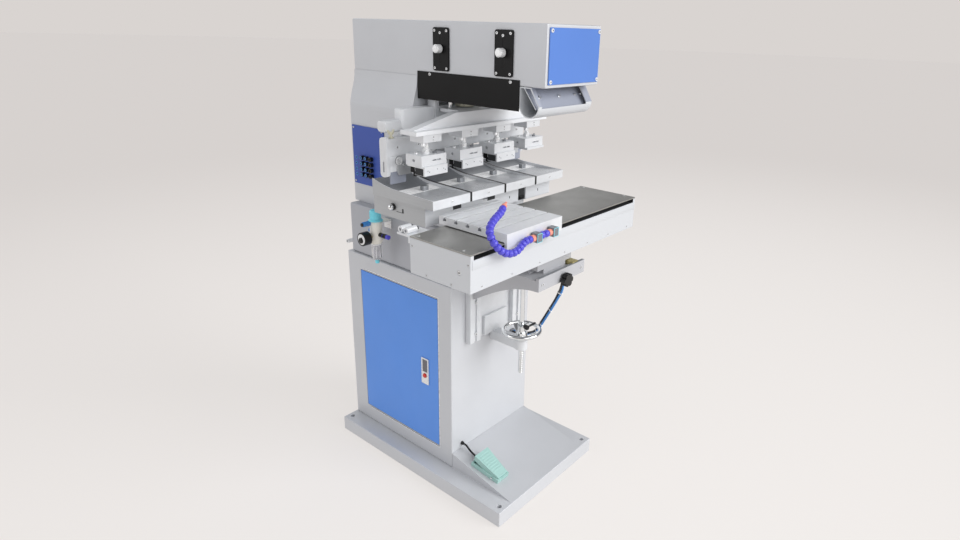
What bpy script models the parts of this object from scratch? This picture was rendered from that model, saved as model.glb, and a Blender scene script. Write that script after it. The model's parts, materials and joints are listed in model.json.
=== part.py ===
"""Four-station pad printing machine: a pneumatic bench head on a steel cabinet.

Metres, +Z up. The origin is on the floor at the centre of the base. The front faces -Y.
"""

import math

import bmesh
import bpy
from mathutils import Matrix, Vector

# Clearances and joins
GAP = 0.0003
RUNNING_GAP = 0.0006
OVERRUN = 0.003
SINK = 0.002
WELD = 0.00001
ROUTE_STEPS = 32
EDGE_SEGMENTS = 2
SMOOTH_ANGLE_DEG = 32.0

# Base
BASE_WIDTH = 0.508
BASE_DEPTH = 0.782
BASE_HEIGHT = 0.053
BASE_EDGE = 0.003
BASE_HOLE_RADIUS = 0.0075
BASE_HOLE_DEPTH = 0.016
BASE_HOLE_INSET_X = 0.026
BASE_HOLE_INSET_Y = 0.022
RAMP_RISE = 0.054
RAMP_FRONT_INSET = 0.006

# Cabinet
CABINET_WIDTH = 0.388
CABINET_FRONT_Y = -0.126
CABINET_REAR_Y = 0.385
CABINET_TOP_Z = 0.710
CABINET_WALL = 0.003
CABINET_EDGE = 0.004
DOORWAY_FRONT_Y = -0.069
DOORWAY_REAR_Y = 0.317
DOORWAY_BOTTOM_Z = 0.112
DOORWAY_TOP_Z = 0.655
DOORWAY_FRAME_DEPTH = 0.022
DOORWAY_FRAME_THICKNESS = 0.008
DOOR_MARGIN = 0.0022
DOOR_DEPTH = 0.015
DOOR_SHEET = 0.002
HINGE_INSET = 0.004
HINGE_PIN_RADIUS = 0.0022
HINGE_PIN_LENGTH = 0.005
LOCK_FRONT_Y = -0.022
LOCK_WIDTH = 0.034
LOCK_BOTTOM_Z = 0.329
LOCK_HEIGHT = 0.096
LOCK_THICKNESS = 0.003
LOCK_BODY_MARGIN = 0.005
LOCK_BODY_DEPTH = 0.012
LOCK_RECESS_DEPTH = 0.0015
LOCK_BUTTON_RADIUS = 0.0075
LOCK_BUTTON_Z = 0.361
LOCK_BUTTON_PROUD = 0.004
LOCK_BUTTON_TRAVEL = 0.003
PEDAL_CORD_X = -0.146
PEDAL_CORD_Z = 0.126

# Middle body
MIDDLE_WIDTH = 0.370
MIDDLE_REAR_Y = 0.370
MIDDLE_TOP_Z = 0.885
MIDDLE_EDGE = 0.006

# Column and head
COLUMN_WIDTH = 0.300
COLUMN_FRONT_Y = 0.130
COLUMN_EDGE = 0.010
HEAD_WIDTH = 0.250
HEAD_FRONT_Y = -0.402
HEAD_REAR_Y = 0.384
HEAD_BOTTOM_Z = 1.321
HEAD_TOP_Z = 1.480
HEAD_EDGE = 0.005
FLARE_BOTTOM_Z = 1.200
FLARE_STEPS = 8
NECK_FRONT_Y = 0.080
NECK_BOTTOM_Z = 1.217
NECK_EDGE = 0.008
FRONT_PLATE_MARGIN = 0.009
FRONT_PLATE_THICKNESS = 0.003
FRONT_PLATE_EDGE = 0.001

# Valve panel
VALVE_PANEL_FRONT_Y = 0.215
VALVE_PANEL_REAR_Y = 0.376
VALVE_PANEL_BOTTOM_Z = 0.949
VALVE_PANEL_TOP_Z = 1.146
VALVE_PANEL_THICKNESS = 0.003
FITTING_COLUMNS = 3
FITTING_ROWS = 4
FITTING_PITCH_Y = 0.022
FITTING_PITCH_Z = 0.019
FITTING_RADIUS = 0.0075
FITTING_BORE_RADIUS = 0.0035
FITTING_LENGTH = 0.012
FITTING_SIDES = 10
FITTING_FIRST_Y = 0.300
FITTING_FIRST_Z = 0.985

# Stroke setting slots on the head's left side
SLOT_PLATE_WIDTH = 0.064
SLOT_PLATE_BOTTOM_Z = 1.342
SLOT_PLATE_TOP_Z = 1.462
SLOT_PLATE_THICKNESS = 0.004
SLOT_PLATE_CORNER = 0.006
SLOT_PLATE_FRONT_EDGES_Y = (-0.058, -0.295)
SLOT_WIDTH = 0.008
SLOT_END_MARGIN = 0.022
SLOT_KNOB_RADIUS = 0.012
SLOT_KNOB_LENGTH = 0.024
SLOT_KNOB_Z = 1.404
SLOT_KNOB_STEM_RADIUS = 0.0035

# Covers under the head
COVER_FRONT_Y = -0.319
COVER_REAR_Y = 0.077
COVER_BOTTOM_Z = 1.256
COVER_TOP_Z = 1.337
COVER_THICKNESS = 0.002

# Control trough under the head's front
TROUGH_REAR_Y = -0.318
TROUGH_FRONT_Y = -0.385
TROUGH_BOTTOM_Z = 1.240
TROUGH_SHEET = 0.003
TROUGH_GUSSET = 0.028
TROUGH_ARC_STEPS = 10
TROUGH_PANEL_TOP_Y = -0.333
TROUGH_PANEL_LOW_Y = -0.374

# Carriage under the head
RAIL_X = 0.088
RAIL_WIDTH = 0.018
RAIL_HEIGHT = 0.018
RAIL_FRONT_Y = -0.306
CARRIAGE_HALF_WIDTH = 0.108
CARRIAGE_FRONT_Y = -0.086
CARRIAGE_REAR_Y = 0.066
CARRIAGE_BOTTOM_Z = 1.268
CARRIAGE_TOP_Z = 1.300
CARRIAGE_SHOE_WIDTH = 0.034
CARRIAGE_SHOE_TOP_Z = 1.314
ROD_X = 0.055
ROD_Y = 0.012
ROD_RADIUS = 0.007
PISTON_RADIUS = 0.005
ROD_TOP_Z = 1.317
GLAND_RADIUS = 0.020
GLAND_HEIGHT = 0.026
BUSH_RADIUS = 0.018
BUSH_HEIGHT = 0.022

# Pad beam
BEAM_HALF_LENGTH = 0.294
BEAM_Y = -0.066
BEAM_BOTTOM_Z = 1.178
BEAM_FLANGE_DEPTH = 0.066
BEAM_FLANGE_HEIGHT = 0.012
BEAM_WEB_THICKNESS = 0.026
BEAM_WEB_TOP_Z = 1.228
BEAM_WEB_TOP_HALF_LENGTH = 0.120
BEAM_SEAT_HALF_LENGTH = 0.080
BEAM_SEAT_REAR_Y = 0.030
BEAM_SEAT_HEIGHT = 0.010

# Stations
STATION_COUNT = 4
STATION_PITCH = 0.1526
HOLDER_CAP_WIDTH = 0.070
HOLDER_CAP_DEPTH = 0.056
HOLDER_CAP_HEIGHT = 0.022
HOLDER_STUD_RADIUS = 0.006
HOLDER_NUT_RADIUS = 0.012
HOLDER_NUT_HEIGHT = 0.008
HOLDER_BLOCK_WIDTH = 0.096
HOLDER_BLOCK_DEPTH = 0.066
HOLDER_BLOCK_TOP_Z = 1.122
HOLDER_BLOCK_BOTTOM_Z = 1.084
HOLDER_SLOT_WIDTH = 0.018
HOLDER_SLOT_HEIGHT = 0.005
HOLDER_SLOT_DEPTH = 0.008
HOLDER_HOLE_RADIUS = 0.005
JAW_BOTTOM_Z = 1.046
JAW_WIDTH = 0.090
JAW_DEPTH = 0.040
JAW_NOTCH_HEIGHT = 0.012
JAW_NOTCH_DEPTH = 0.014
JAW_FRONT_Y = -0.107

# Doctor blade unit
BLADE_BEAM_HALF_LENGTH = 0.282
BLADE_BEAM_FRONT_Y = 0.046
BLADE_BEAM_DEPTH = 0.034
BLADE_BEAM_BOTTOM_Z = 1.168
BLADE_BEAM_HEIGHT = 0.036
HANGER_HALF_SPACING = 0.090
HANGER_WIDTH = 0.014
BLADE_PIVOT_Z = 1.146
BLADE_PIVOT_RADIUS = 0.006
BLADE_PIVOT_EAR = 0.009
BLADE_EAR_X = 0.240
BLADE_BAR_HALF_LENGTH = 0.298
BLADE_BAR_FRONT_Y = 0.012
BLADE_BAR_THICKNESS = 0.022
BLADE_BAR_BOTTOM_Z = 1.107
BLADE_BAR_TOP_Z = 1.158
BLADE_ARM_WIDTH = 0.010
BLADE_ARM_DEPTH = 0.030
BLADE_ARM_BOTTOM_Z = 1.048
BLADE_ARM_TOP_Z = 1.162
BLADE_ARM_SLOT_WIDTH = 0.006
BLADE_ARM_SLOT_LENGTH = 0.030
BLADE_LOWER_BAR_HEIGHT = 0.022
BLADE_LOWER_BAR_DEPTH = 0.014
BLADE_LOWER_BAR_TOP_Z = 1.098
SCRAPER_WIDTH = 0.086
SCRAPER_THICKNESS = 0.006
SCRAPER_BOTTOM_Z = 1.052
SCRAPER_LEAN = 0.012
WING_RADIUS = 0.004
WING_SPAN = 0.026
WING_HEIGHT = 0.012
WING_THICKNESS = 0.004
WING_STEM = 0.012
WING_X = -0.281

# Ink trays
TRAY_GAP = 0.003
TRAY_FRONT_Y = -0.171
TRAY_REAR_Y = 0.088
TRAY_BOTTOM_Z = 0.985
TRAY_WALL = 0.003
TRAY_FRONT_HEIGHT = 0.027
TRAY_MIDDLE_HEIGHT = 0.031
TRAY_REAR_HEIGHT = 0.050
TRAY_MIDDLE_Y = -0.030
TRAY_SHELF_REAR_Y = -0.112
TRAY_FLOOR_HEIGHT = 0.013
TRAY_PROFILE_STEPS = 7
CLICHE_REAR_Y = 0.010
CLICHE_THICKNESS = 0.006
CLICHE_MARGIN = 0.004
POST_WIDTH = 0.022
POST_DEPTH = 0.014
POST_HEIGHT = 0.012

# Table under the trays
TABLE_HALF_LENGTH = 0.292
TABLE_FRONT_Y = -0.126
TABLE_REAR_Y = 0.100
TABLE_BOTTOM_Z = 0.925
TABLE_EDGE = 0.002
TABLE_SLOT_WIDTH = 0.024
TABLE_SLOT_HEIGHT = 0.009
TABLE_SLOT_DEPTH = 0.010
TABLE_SLOT_Z = 0.967
TABLE_SLOT_XS = (-0.170, -0.040)
TABLE_NOTCH_X = 0.148
TABLE_NOTCH_WIDTH = 0.020
TABLE_NOTCH_TOP_Z = 0.972
TABLE_FOOT_HALF_LENGTH = 0.170
TABLE_FOOT_FRONT_Y = -0.110
TABLE_FOOT_REAR_Y = 0.090

# Shuttle housing
SHUTTLE_HALF_LENGTH = 0.402
SHUTTLE_FRONT_Y = -0.405
SHUTTLE_REAR_Y = -0.185
SHUTTLE_BOTTOM_Z = 0.837
SHUTTLE_TOP_Z = 0.941
SHUTTLE_PLATE_THICKNESS = 0.004
SHUTTLE_GROOVE_HEIGHT = 0.012
SHUTTLE_GROOVE_DEPTH = 0.030
SHUTTLE_GROOVE_END = 0.012
STOP_PLATE_LENGTH = 0.072
STOP_PLATE_REAR_Y = -0.134
STOP_PLATE_THICKNESS = 0.006
STOP_RADIUS = 0.0095
STOP_BORE_RADIUS = 0.0045
STOP_LENGTH = 0.036
STOP_SPACING = 0.0215

# Worktable
WORKTABLE_X = -0.155
WORKTABLE_HALF_LENGTH = 0.121
WORKTABLE_FRONT_Y = -0.414
WORKTABLE_REAR_Y = -0.164
WORKTABLE_TOP_Z = 0.967
WORKTABLE_PLATE = 0.024
WORKTABLE_APRON_DEPTH = 0.030
WORKTABLE_APRON_BOTTOM_Z = 0.925
T_SLOT_COUNT = 5
T_SLOT_MOUTH = 0.007
T_SLOT_FOOT = 0.013
T_SLOT_MOUTH_DEPTH = 0.006
T_SLOT_FOOT_DEPTH = 0.006
TONGUE_HEIGHT = 0.007
TONGUE_LENGTH = 0.160

# Knee arm and its slide
GUIDE_HALF_WIDTH = 0.129
GUIDE_RAIL_WIDTH = 0.049
GUIDE_BASE_DEPTH = 0.006
GUIDE_RAIL_DEPTH = 0.022
GUIDE_BOTTOM_Z = 0.500
GUIDE_TOP_Z = 0.790
KNEE_HALF_WIDTH = 0.116
KNEE_FRONT_Y = -0.402
KNEE_WALL = 0.012
KNEE_TOP_Z = 0.785
KNEE_SLIDE_HEIGHT = 0.125
KNEE_ROOT_HEIGHT = 0.131
KNEE_FRONT_HEIGHT = 0.033
KNEE_FRONT_LIP = 0.008
KNEE_NOTCH_WIDTH = 0.030
KNEE_NOTCH_DEPTH = 0.014
KNEE_CURVE_STEPS = 9
PILLAR_HALF_WIDTH = 0.085
PILLAR_FRONT_Y = -0.372
PILLAR_REAR_Y = -0.190
SCREW_Y = -0.254
SCREW_RADIUS = 0.0080
SCREW_BOTTOM_Z = 0.386
SCREW_NUT_RADIUS = 0.020
SCREW_NUT_HEIGHT = 0.014

# Screw bracket, handwheel and lock lever
BRACKET_HALF_WIDTH = 0.055
BRACKET_BOTTOM_Z = 0.503
BRACKET_TOP_Z = 0.572
BRACKET_PLATE_DEPTH = 0.010
BRACKET_ARM_HALF_WIDTH = 0.018
BRACKET_BOSS_RADIUS = 0.021
BRACKET_BOSS_TOP_Z = 0.509
BRACKET_BOSS_HEIGHT = 0.034
WHEEL_RADIUS = 0.060
WHEEL_RIM_RADIUS = 0.0065
WHEEL_RIM_Z = 0.541
WHEEL_HUB_RADIUS = 0.019
WHEEL_HUB_TOP_Z = 0.536
WHEEL_SPOKES = 3
WHEEL_SPOKE_WIDTH = 0.016
WHEEL_SPOKE_THICKNESS = 0.007
WHEEL_RIM_SIDES = 40
LEVER_BOSS_RADIUS = 0.008
LEVER_BOSS_LENGTH = 0.012
LEVER_LENGTH = 0.046
LEVER_TIP_RADIUS = 0.0042
LEVER_ROOT_RADIUS = 0.0025
LEVER_Z = 0.557
COLLAR_RADIUS = 0.014
STAR_KNOB_X = 0.005
STAR_KNOB_Z = 0.761
STAR_KNOB_RADIUS = 0.021
STAR_KNOB_DEPTH = 0.022
STAR_KNOB_LOBES = 6
STAR_KNOB_NOTCH = 0.0045
STAR_KNOB_STEM_RADIUS = 0.004

# Beaded hose on the worktable
HOSE_BEAD_RADIUS = 0.0105
HOSE_NECK_SHARE = 0.76
HOSE_BORE_RADIUS = 0.0045
HOSE_BEAD_PITCH = 0.0165
HOSE_BLOCK_WIDTH = 0.022
HOSE_BLOCK_DEPTH = 0.024
HOSE_BLOCK_HEIGHT = 0.026
HOSE_COLLAR_RADIUS = 0.0095
HOSE_COLLAR_LENGTH = 0.012
NOZZLE_LENGTH = 0.024
NOZZLE_TIP_RADIUS = 0.0032
NOZZLE_BORE_RADIUS = 0.0018
HOSE_BLOCK_X = -0.094
VALVE_BLOCK_X = -0.168
HOSE_Z = 0.938
HOSE_ROUTE = (
    (-0.245, -0.433, 0.929), (-0.265, -0.437, 0.924), (-0.293, -0.437, 0.925),
    (-0.3145, -0.434, 0.934), (-0.333, -0.430, 0.9515), (-0.343, -0.422, 0.970),
    (-0.339, -0.410, 0.985), (-0.324, -0.398, 0.9945), (-0.2945, -0.385, 1.004),
    (-0.2565, -0.372, 1.011), (-0.2305, -0.361, 1.020),
)

# Filter regulator
REGULATOR_X = -0.236
REGULATOR_Y = 0.168
REGULATOR_KNOB_RADIUS = 0.017
REGULATOR_KNOB_HEIGHT = 0.036
REGULATOR_KNOB_TOP_Z = 0.908
REGULATOR_BODY_RADIUS = 0.020
REGULATOR_BODY_BOTTOM_Z = 0.796
REGULATOR_BOWL_RADIUS = 0.016
REGULATOR_BOWL_BOTTOM_Z = 0.742
REGULATOR_BOWL_WALL = 0.002
REGULATOR_DRAIN_RADIUS = 0.007
REGULATOR_DRAIN_HEIGHT = 0.014
REGULATOR_BRACKET_Z = 0.868
REGULATOR_BRACKET_THICKNESS = 0.003
REGULATOR_BRACKET_WIDTH = 0.034
REGULATOR_BRACKET_FLANGE = 0.030
GAUGE_RADIUS = 0.022
GAUGE_DEPTH = 0.026
GAUGE_STEM = 0.012
GAUGE_STEM_RADIUS = 0.006
GAUGE_Z = 0.822
PORT_RADIUS = 0.008
PORT_LENGTH = 0.030
PORT_Z = 0.836
ELBOW_RADIUS = 0.007
ELBOW_LENGTH = 0.036
REAR_ELBOW_Z = 0.742
REAR_ELBOW_X = -0.170

# Foot pedal on the ramp
PEDAL_X = -0.143
PEDAL_REAR_Y = -0.198
PEDAL_NOSE_Y = -0.309
PEDAL_REAR_WIDTH = 0.072
PEDAL_NOSE_WIDTH = 0.054
PEDAL_WALL = 0.004
PEDAL_BASE_HEIGHT = 0.014
PEDAL_NOSE_HEIGHT = 0.020
PEDAL_REAR_HEIGHT = 0.042
PEDAL_TREAD_THICKNESS = 0.005
PEDAL_PIVOT_SETBACK = 0.024
PEDAL_PIVOT_HEIGHT = 0.010
PEDAL_PIN_RADIUS = 0.0025
PEDAL_RIB_COUNT = 9
PEDAL_RIB_HEIGHT = 0.001
PEDAL_RIB_SHARE = 0.45
CORD_RADIUS = 0.0032
CORD_GLAND_RADIUS = 0.006
CORD_GLAND_LENGTH = 0.008

# Air tubes from the shuttle to the cabinet
TUBE_RADIUS = 0.003
TUBE_SPACING = 0.0064
TUBE_SOCKET_RADIUS = 0.006
TUBE_SOCKET_LENGTH = 0.010
TUBE_ROUTE = (
    (0.043, -0.378, 0.773), (0.045, -0.374, 0.704), (0.0515, -0.355, 0.6676), (0.057, -0.330, 0.6235),
    (0.0733, -0.285, 0.5534), (0.0893, -0.250, 0.5026), (0.102, -0.215, 0.474),
    (0.106, -0.180, 0.462), (0.106, -0.126, 0.460),
)

# Round pieces
FINE_SIDES = 28
ROUND_SIDES = 20
SMALL_SIDES = 12

# Directions
X, Y, Z = 0, 1, 2

# Colours as (red, green, blue), then metallic and roughness values, all shares of one
FINISH_SHARES = {
    "silver_paint": ((0.52, 0.53, 0.54), 0.3, 0.42),
    "blue_paint": ((0.08, 0.22, 0.62), 0.0, 0.38),
    "dark_blue_paint": ((0.03, 0.07, 0.36), 0.0, 0.42),
    "black_paint": ((0.012, 0.012, 0.014), 0.0, 0.45),
    "black_plastic": ((0.015, 0.015, 0.016), 0.0, 0.5),
    "aluminium": ((0.70, 0.71, 0.72), 0.9, 0.34),
    "brushed_steel": ((0.40, 0.39, 0.37), 0.95, 0.38),
    "chrome": ((0.75, 0.76, 0.77), 1.0, 0.12),
    "brass": ((0.45, 0.42, 0.24), 0.9, 0.35),
    "red_plastic": ((0.55, 0.03, 0.02), 0.0, 0.4),
    "cyan_plastic": ((0.10, 0.55, 0.60), 0.0, 0.4),
    "cream_plastic": ((0.62, 0.58, 0.47), 0.0, 0.5),
    "clear_plastic": ((0.75, 0.76, 0.80), 0.0, 0.15),
    "mint_paint": ((0.30, 0.62, 0.55), 0.0, 0.45),
    "violet_plastic": ((0.10, 0.08, 0.55), 0.0, 0.35),
    "orange_plastic": ((0.85, 0.28, 0.16), 0.0, 0.4),
    "blue_tube": ((0.06, 0.28, 0.70), 0.0, 0.35),
    "grey_plastic": ((0.30, 0.31, 0.33), 0.0, 0.45),
    "white_plastic": ((0.72, 0.73, 0.74), 0.0, 0.4),
}


def clear_scene():
    """Remove whatever the scene starts with."""
    for item in list(bpy.data.objects):
        bpy.data.objects.remove(item, do_unlink=True)


def finish_material(name):
    """A Principled material of one finish, made once."""
    made = bpy.data.materials.get(name)
    if made:
        return made
    colour, metallic, roughness = FINISH_SHARES[name]
    made = bpy.data.materials.new(name)
    made.use_nodes = True
    shader = made.node_tree.nodes["Principled BSDF"]
    shader.inputs["Base Color"].default_value = (*colour, 1.0)
    shader.inputs["Metallic"].default_value = metallic
    shader.inputs["Roughness"].default_value = roughness
    made.diffuse_color = (*colour, 1.0)
    return made


def solid(bm, label="shape"):
    """An object from a closed bmesh, its faces turned outwards."""
    bmesh.ops.recalc_face_normals(bm, faces=bm.faces)
    mesh = bpy.data.meshes.new(label)
    bm.to_mesh(mesh)
    bm.free()
    made = bpy.data.objects.new(label, mesh)
    bpy.context.scene.collection.objects.link(made)
    return made


def box(x_range, y_range, z_range, edge=0.0, edges_along=None):
    """A block between three pairs of coordinates, its edges rounded where edge is given."""
    bm = bmesh.new()
    bmesh.ops.create_cube(bm, size=1.0)
    for vert in bm.verts:
        for axis, pair in enumerate((x_range, y_range, z_range)):
            low, high = sorted(pair)
            vert.co[axis] = high if vert.co[axis] > 0 else low
    if edge:
        chosen = [
            line for line in bm.edges
            if edges_along is None or along(line) in edges_along
        ]
        bmesh.ops.bevel(
            bm, geom=chosen, offset=edge, offset_type="OFFSET", segments=EDGE_SEGMENTS,
            profile=0.5, affect="EDGES", material=-1, clamp_overlap=True,
        )
    return solid(bm)


def along(line):
    """The axis that an edge of a block follows."""
    run = line.verts[1].co - line.verts[0].co
    return max(range(3), key=lambda axis: abs(run[axis]))


def prism(outline, axis, start, end):
    """A straight extrusion of an outline, whose points hold the other two axes in X, Y, Z order."""
    bm = bmesh.new()
    low, high = sorted((start, end))
    first = []
    for a, b in outline:
        point = [a, b]
        point.insert(axis, low)
        first.append(bm.verts.new(point))
    face = bm.faces.new(first)
    grown = bmesh.ops.extrude_face_region(bm, geom=[face])
    step = Vector((0.0, 0.0, 0.0))
    step[axis] = high - low
    moved = [item for item in grown["geom"] if isinstance(item, bmesh.types.BMVert)]
    bmesh.ops.translate(bm, verts=moved, vec=step)
    return solid(bm)


def turned(profile, centre, axis=Z, sides=ROUND_SIDES):
    """A revolved solid. The profile's points are (radius, place along the axis)."""
    frame = {
        X: Matrix(((0, 0, 1), (1, 0, 0), (0, 1, 0))),
        Y: Matrix(((0, 1, 0), (0, 0, 1), (1, 0, 0))),
        Z: Matrix.Identity(3),
    }[axis]
    bm = bmesh.new()
    rings = []
    for radius, height in profile:
        if radius <= 0.0:
            rings.append([bm.verts.new(frame @ Vector((0.0, 0.0, height)))])
            continue
        ring = []
        for index in range(sides):
            angle = math.tau * (index + 0.5) / sides
            local = Vector((radius * math.cos(angle), radius * math.sin(angle), height))
            ring.append(bm.verts.new(frame @ local))
        rings.append(ring)
    for low, high in zip(rings, rings[1:]):
        for index in range(sides):
            following = (index + 1) % sides
            corners = [
                low[index % len(low)], low[following % len(low)],
                high[following % len(high)], high[index % len(high)],
            ]
            face = list(dict.fromkeys(corners))
            if len(face) > 2:
                bm.faces.new(face)
    for ring in (rings[0], rings[-1]):
        if len(ring) > 2:
            bm.faces.new(ring)
    made = solid(bm)
    made.data.transform(Matrix.Translation(centre))
    return made


def rod(centre, axis, radius, start, end, sides=ROUND_SIDES, chamfer=0.0):
    """A round bar between two places on an axis, its ends chamfered where chamfer is given."""
    low, high = sorted((start, end))
    if chamfer:
        profile = [
            (radius - chamfer, low), (radius, low + chamfer),
            (radius, high - chamfer), (radius - chamfer, high),
        ]
    else:
        profile = [(radius, low), (radius, high)]
    base = list(centre)
    base[axis] = 0.0
    return turned(profile, base, axis, sides)


def evaluated_mesh(item):
    """The object's mesh with its modifiers, as a mesh of its own."""
    bpy.context.view_layer.update()
    graph = bpy.context.evaluated_depsgraph_get()
    return bpy.data.meshes.new_from_object(item.evaluated_get(graph), depsgraph=graph)


def combined(body, tools, operation):
    """The body after a Boolean with each tool, which it uses up."""
    for tool in tools:
        step = body.modifiers.new(operation.lower(), "BOOLEAN")
        step.operation = operation
        step.solver = "EXACT"
        step.object = tool
        mesh = evaluated_mesh(body)
        body.modifiers.remove(step)
        body.data = mesh
        bpy.data.objects.remove(tool, do_unlink=True)
    return body


def joined(body, *tools):
    """The body united with each tool."""
    return combined(body, tools, "UNION")


def cut(body, *tools):
    """The body with each tool taken out of it."""
    return combined(body, tools, "DIFFERENCE")


def finished(item, name, finish, origin=None):
    """Name a piece, give it its material and put its origin on its joint."""
    item.name = name
    item.data.name = name
    item.data.materials.clear()
    item.data.materials.append(finish_material(finish))
    if item.type == "MESH":
        item.data.shade_smooth()
        item.data.set_sharp_from_angle(angle=math.radians(SMOOTH_ANGLE_DEG))
        if origin is not None:
            item.data.transform(Matrix.Translation(-Vector(origin)))
            item.location = origin
    return item


def carried(item, carrier):
    """Parent a piece, where it stands, to the piece that carries it."""
    bpy.context.view_layer.update()
    item.parent = carrier
    item.matrix_parent_inverse = carrier.matrix_world.inverted()
    return item


def moved(item, offset):
    """Shift a shape's points."""
    item.data.transform(Matrix.Translation(Vector(offset)))
    return item


def mirrored(item):
    """The shape turned over to the other side of the machine's centre plane."""
    item.data.transform(Matrix.Scale(-1.0, 4, Vector((1.0, 0.0, 0.0))))
    item.data.flip_normals()
    return item


def span(centre, width):
    """The two ends of a width about its centre."""
    return centre - width / 2, centre + width / 2


def smooth_route(points, spacing, even=False):
    """Points at an even spacing on a smooth curve through a route's points, in an even count on request."""
    padded = [points[0] * 2 - points[1], *points, points[-1] * 2 - points[-2]]
    dense = []
    fine = ROUTE_STEPS
    for index in range(1, len(padded) - 2):
        before, here, there, after = padded[index - 1:index + 3]
        for step in range(fine):
            t = step / fine
            dense.append(
                0.5 * ((2 * here) + (there - before) * t
                       + (2 * before - 5 * here + 4 * there - after) * t ** 2
                       + (3 * here - before - 3 * there + after) * t ** 3)
            )
    dense.append(points[-1])
    total = sum((b - a).length for a, b in zip(dense, dense[1:]))
    count = 2 * max(1, round(total / spacing / 2)) if even else max(2, round(total / spacing))
    wanted = [total * index / count for index in range(count + 1)]
    found, walked, place = [dense[0].copy()], 0.0, 0
    for target in wanted[1:-1]:
        while walked + (dense[place + 1] - dense[place]).length < target:
            walked += (dense[place + 1] - dense[place]).length
            place += 1
        share = (target - walked) / (dense[place + 1] - dense[place]).length
        found.append(dense[place].lerp(dense[place + 1], share))
    found.append(dense[-1].copy())
    return found


def tube(points, radius, shares=None, resolution=2):
    """A round tube along points, as a bevelled curve with filled caps."""
    data = bpy.data.curves.new("tube", "CURVE")
    data.dimensions = "3D"
    data.bevel_depth = radius
    data.bevel_resolution = resolution
    data.use_fill_caps = True
    line = data.splines.new("POLY")
    line.points.add(len(points) - 1)
    for index, (place, point) in enumerate(zip(line.points, points)):
        place.co = (*point, 1.0)
        place.radius = shares[index] if shares else 1.0
    made = bpy.data.objects.new("tube", data)
    bpy.context.scene.collection.objects.link(made)
    return made


def meshed(item):
    """The curve object as a welded mesh object."""
    mesh = evaluated_mesh(item)
    bm = bmesh.new()
    bm.from_mesh(mesh)
    bpy.data.meshes.remove(mesh)
    bmesh.ops.remove_doubles(bm, verts=bm.verts, dist=WELD)
    bpy.data.objects.remove(item, do_unlink=True)
    return solid(bm)


# Base and cabinet


def base_plate():
    """The folded base with its tread ramp and four levelling holes."""
    half_width, half_depth = BASE_WIDTH / 2, BASE_DEPTH / 2
    body = box((-half_width, half_width), (-half_depth, half_depth), (0.0, BASE_HEIGHT), BASE_EDGE)
    ramp_half = CABINET_WIDTH / 2 - SINK
    ramp = prism(
        [
            (RAMP_FRONT_INSET - half_depth, BASE_HEIGHT),
            (CABINET_FRONT_Y - GAP, BASE_HEIGHT + RAMP_RISE),
            (CABINET_FRONT_Y - GAP, BASE_HEIGHT - SINK),
            (RAMP_FRONT_INSET - half_depth, BASE_HEIGHT - SINK),
        ],
        X, -ramp_half, ramp_half,
    )
    joined(body, ramp)
    for side in (-1, 1):
        for end in (-1, 1):
            centre = (side * (half_width - BASE_HOLE_INSET_X), end * (half_depth - BASE_HOLE_INSET_Y), 0.0)
            hole = rod(centre, Z, BASE_HOLE_RADIUS, BASE_HEIGHT - BASE_HOLE_DEPTH, BASE_HEIGHT + OVERRUN)
            cut(body, hole)
    return finished(body, "base_plate", "silver_paint")


def ramp_height(y):
    """The ramp's surface at a place along the machine."""
    front = RAMP_FRONT_INSET - BASE_DEPTH / 2
    share = (y - front) / (CABINET_FRONT_Y - front)
    return BASE_HEIGHT + RAMP_RISE * share


def door_hinge_point():
    """A point on the door's hinge line."""
    return (
        HINGE_INSET - CABINET_WIDTH / 2,
        DOORWAY_REAR_Y - DOOR_MARGIN - HINGE_INSET,
        (DOORWAY_BOTTOM_Z + DOORWAY_TOP_Z) / 2,
    )


def cabinet():
    """The hollow cabinet with the framed doorway in its left side."""
    half = CABINET_WIDTH / 2
    bottom = BASE_HEIGHT + GAP
    body = box((-half, half), (CABINET_FRONT_Y, CABINET_REAR_Y), (bottom, CABINET_TOP_Z), CABINET_EDGE)
    room = box(
        (CABINET_WALL - half, half - CABINET_WALL),
        (CABINET_FRONT_Y + CABINET_WALL, CABINET_REAR_Y - CABINET_WALL),
        (bottom + CABINET_WALL, CABINET_TOP_Z - CABINET_WALL),
    )
    cut(body, room)
    frame = box(
        (CABINET_WALL / 2 - half, DOORWAY_FRAME_DEPTH - half),
        (DOORWAY_FRONT_Y - DOORWAY_FRAME_THICKNESS, DOORWAY_REAR_Y + DOORWAY_FRAME_THICKNESS),
        (DOORWAY_BOTTOM_Z - DOORWAY_FRAME_THICKNESS, DOORWAY_TOP_Z + DOORWAY_FRAME_THICKNESS),
    )
    joined(body, frame)
    doorway = box(
        (-half - OVERRUN, DOORWAY_FRAME_DEPTH + OVERRUN - half),
        (DOORWAY_FRONT_Y, DOORWAY_REAR_Y),
        (DOORWAY_BOTTOM_Z, DOORWAY_TOP_Z),
    )
    pin_hole = rod(
        door_hinge_point(), Z, HINGE_PIN_RADIUS + RUNNING_GAP,
        DOORWAY_BOTTOM_Z + DOOR_MARGIN - HINGE_PIN_LENGTH - GAP,
        DOORWAY_TOP_Z - DOOR_MARGIN + HINGE_PIN_LENGTH + GAP, SMALL_SIDES,
    )
    cord_hole = rod(
        (PEDAL_CORD_X, 0.0, PEDAL_CORD_Z), Y, CORD_GLAND_RADIUS + GAP,
        CABINET_FRONT_Y - OVERRUN, CABINET_FRONT_Y + CABINET_WALL + OVERRUN, SMALL_SIDES,
    )
    cut(body, doorway, pin_hole, cord_hole)
    return finished(body, "cabinet", "silver_paint")


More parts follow.
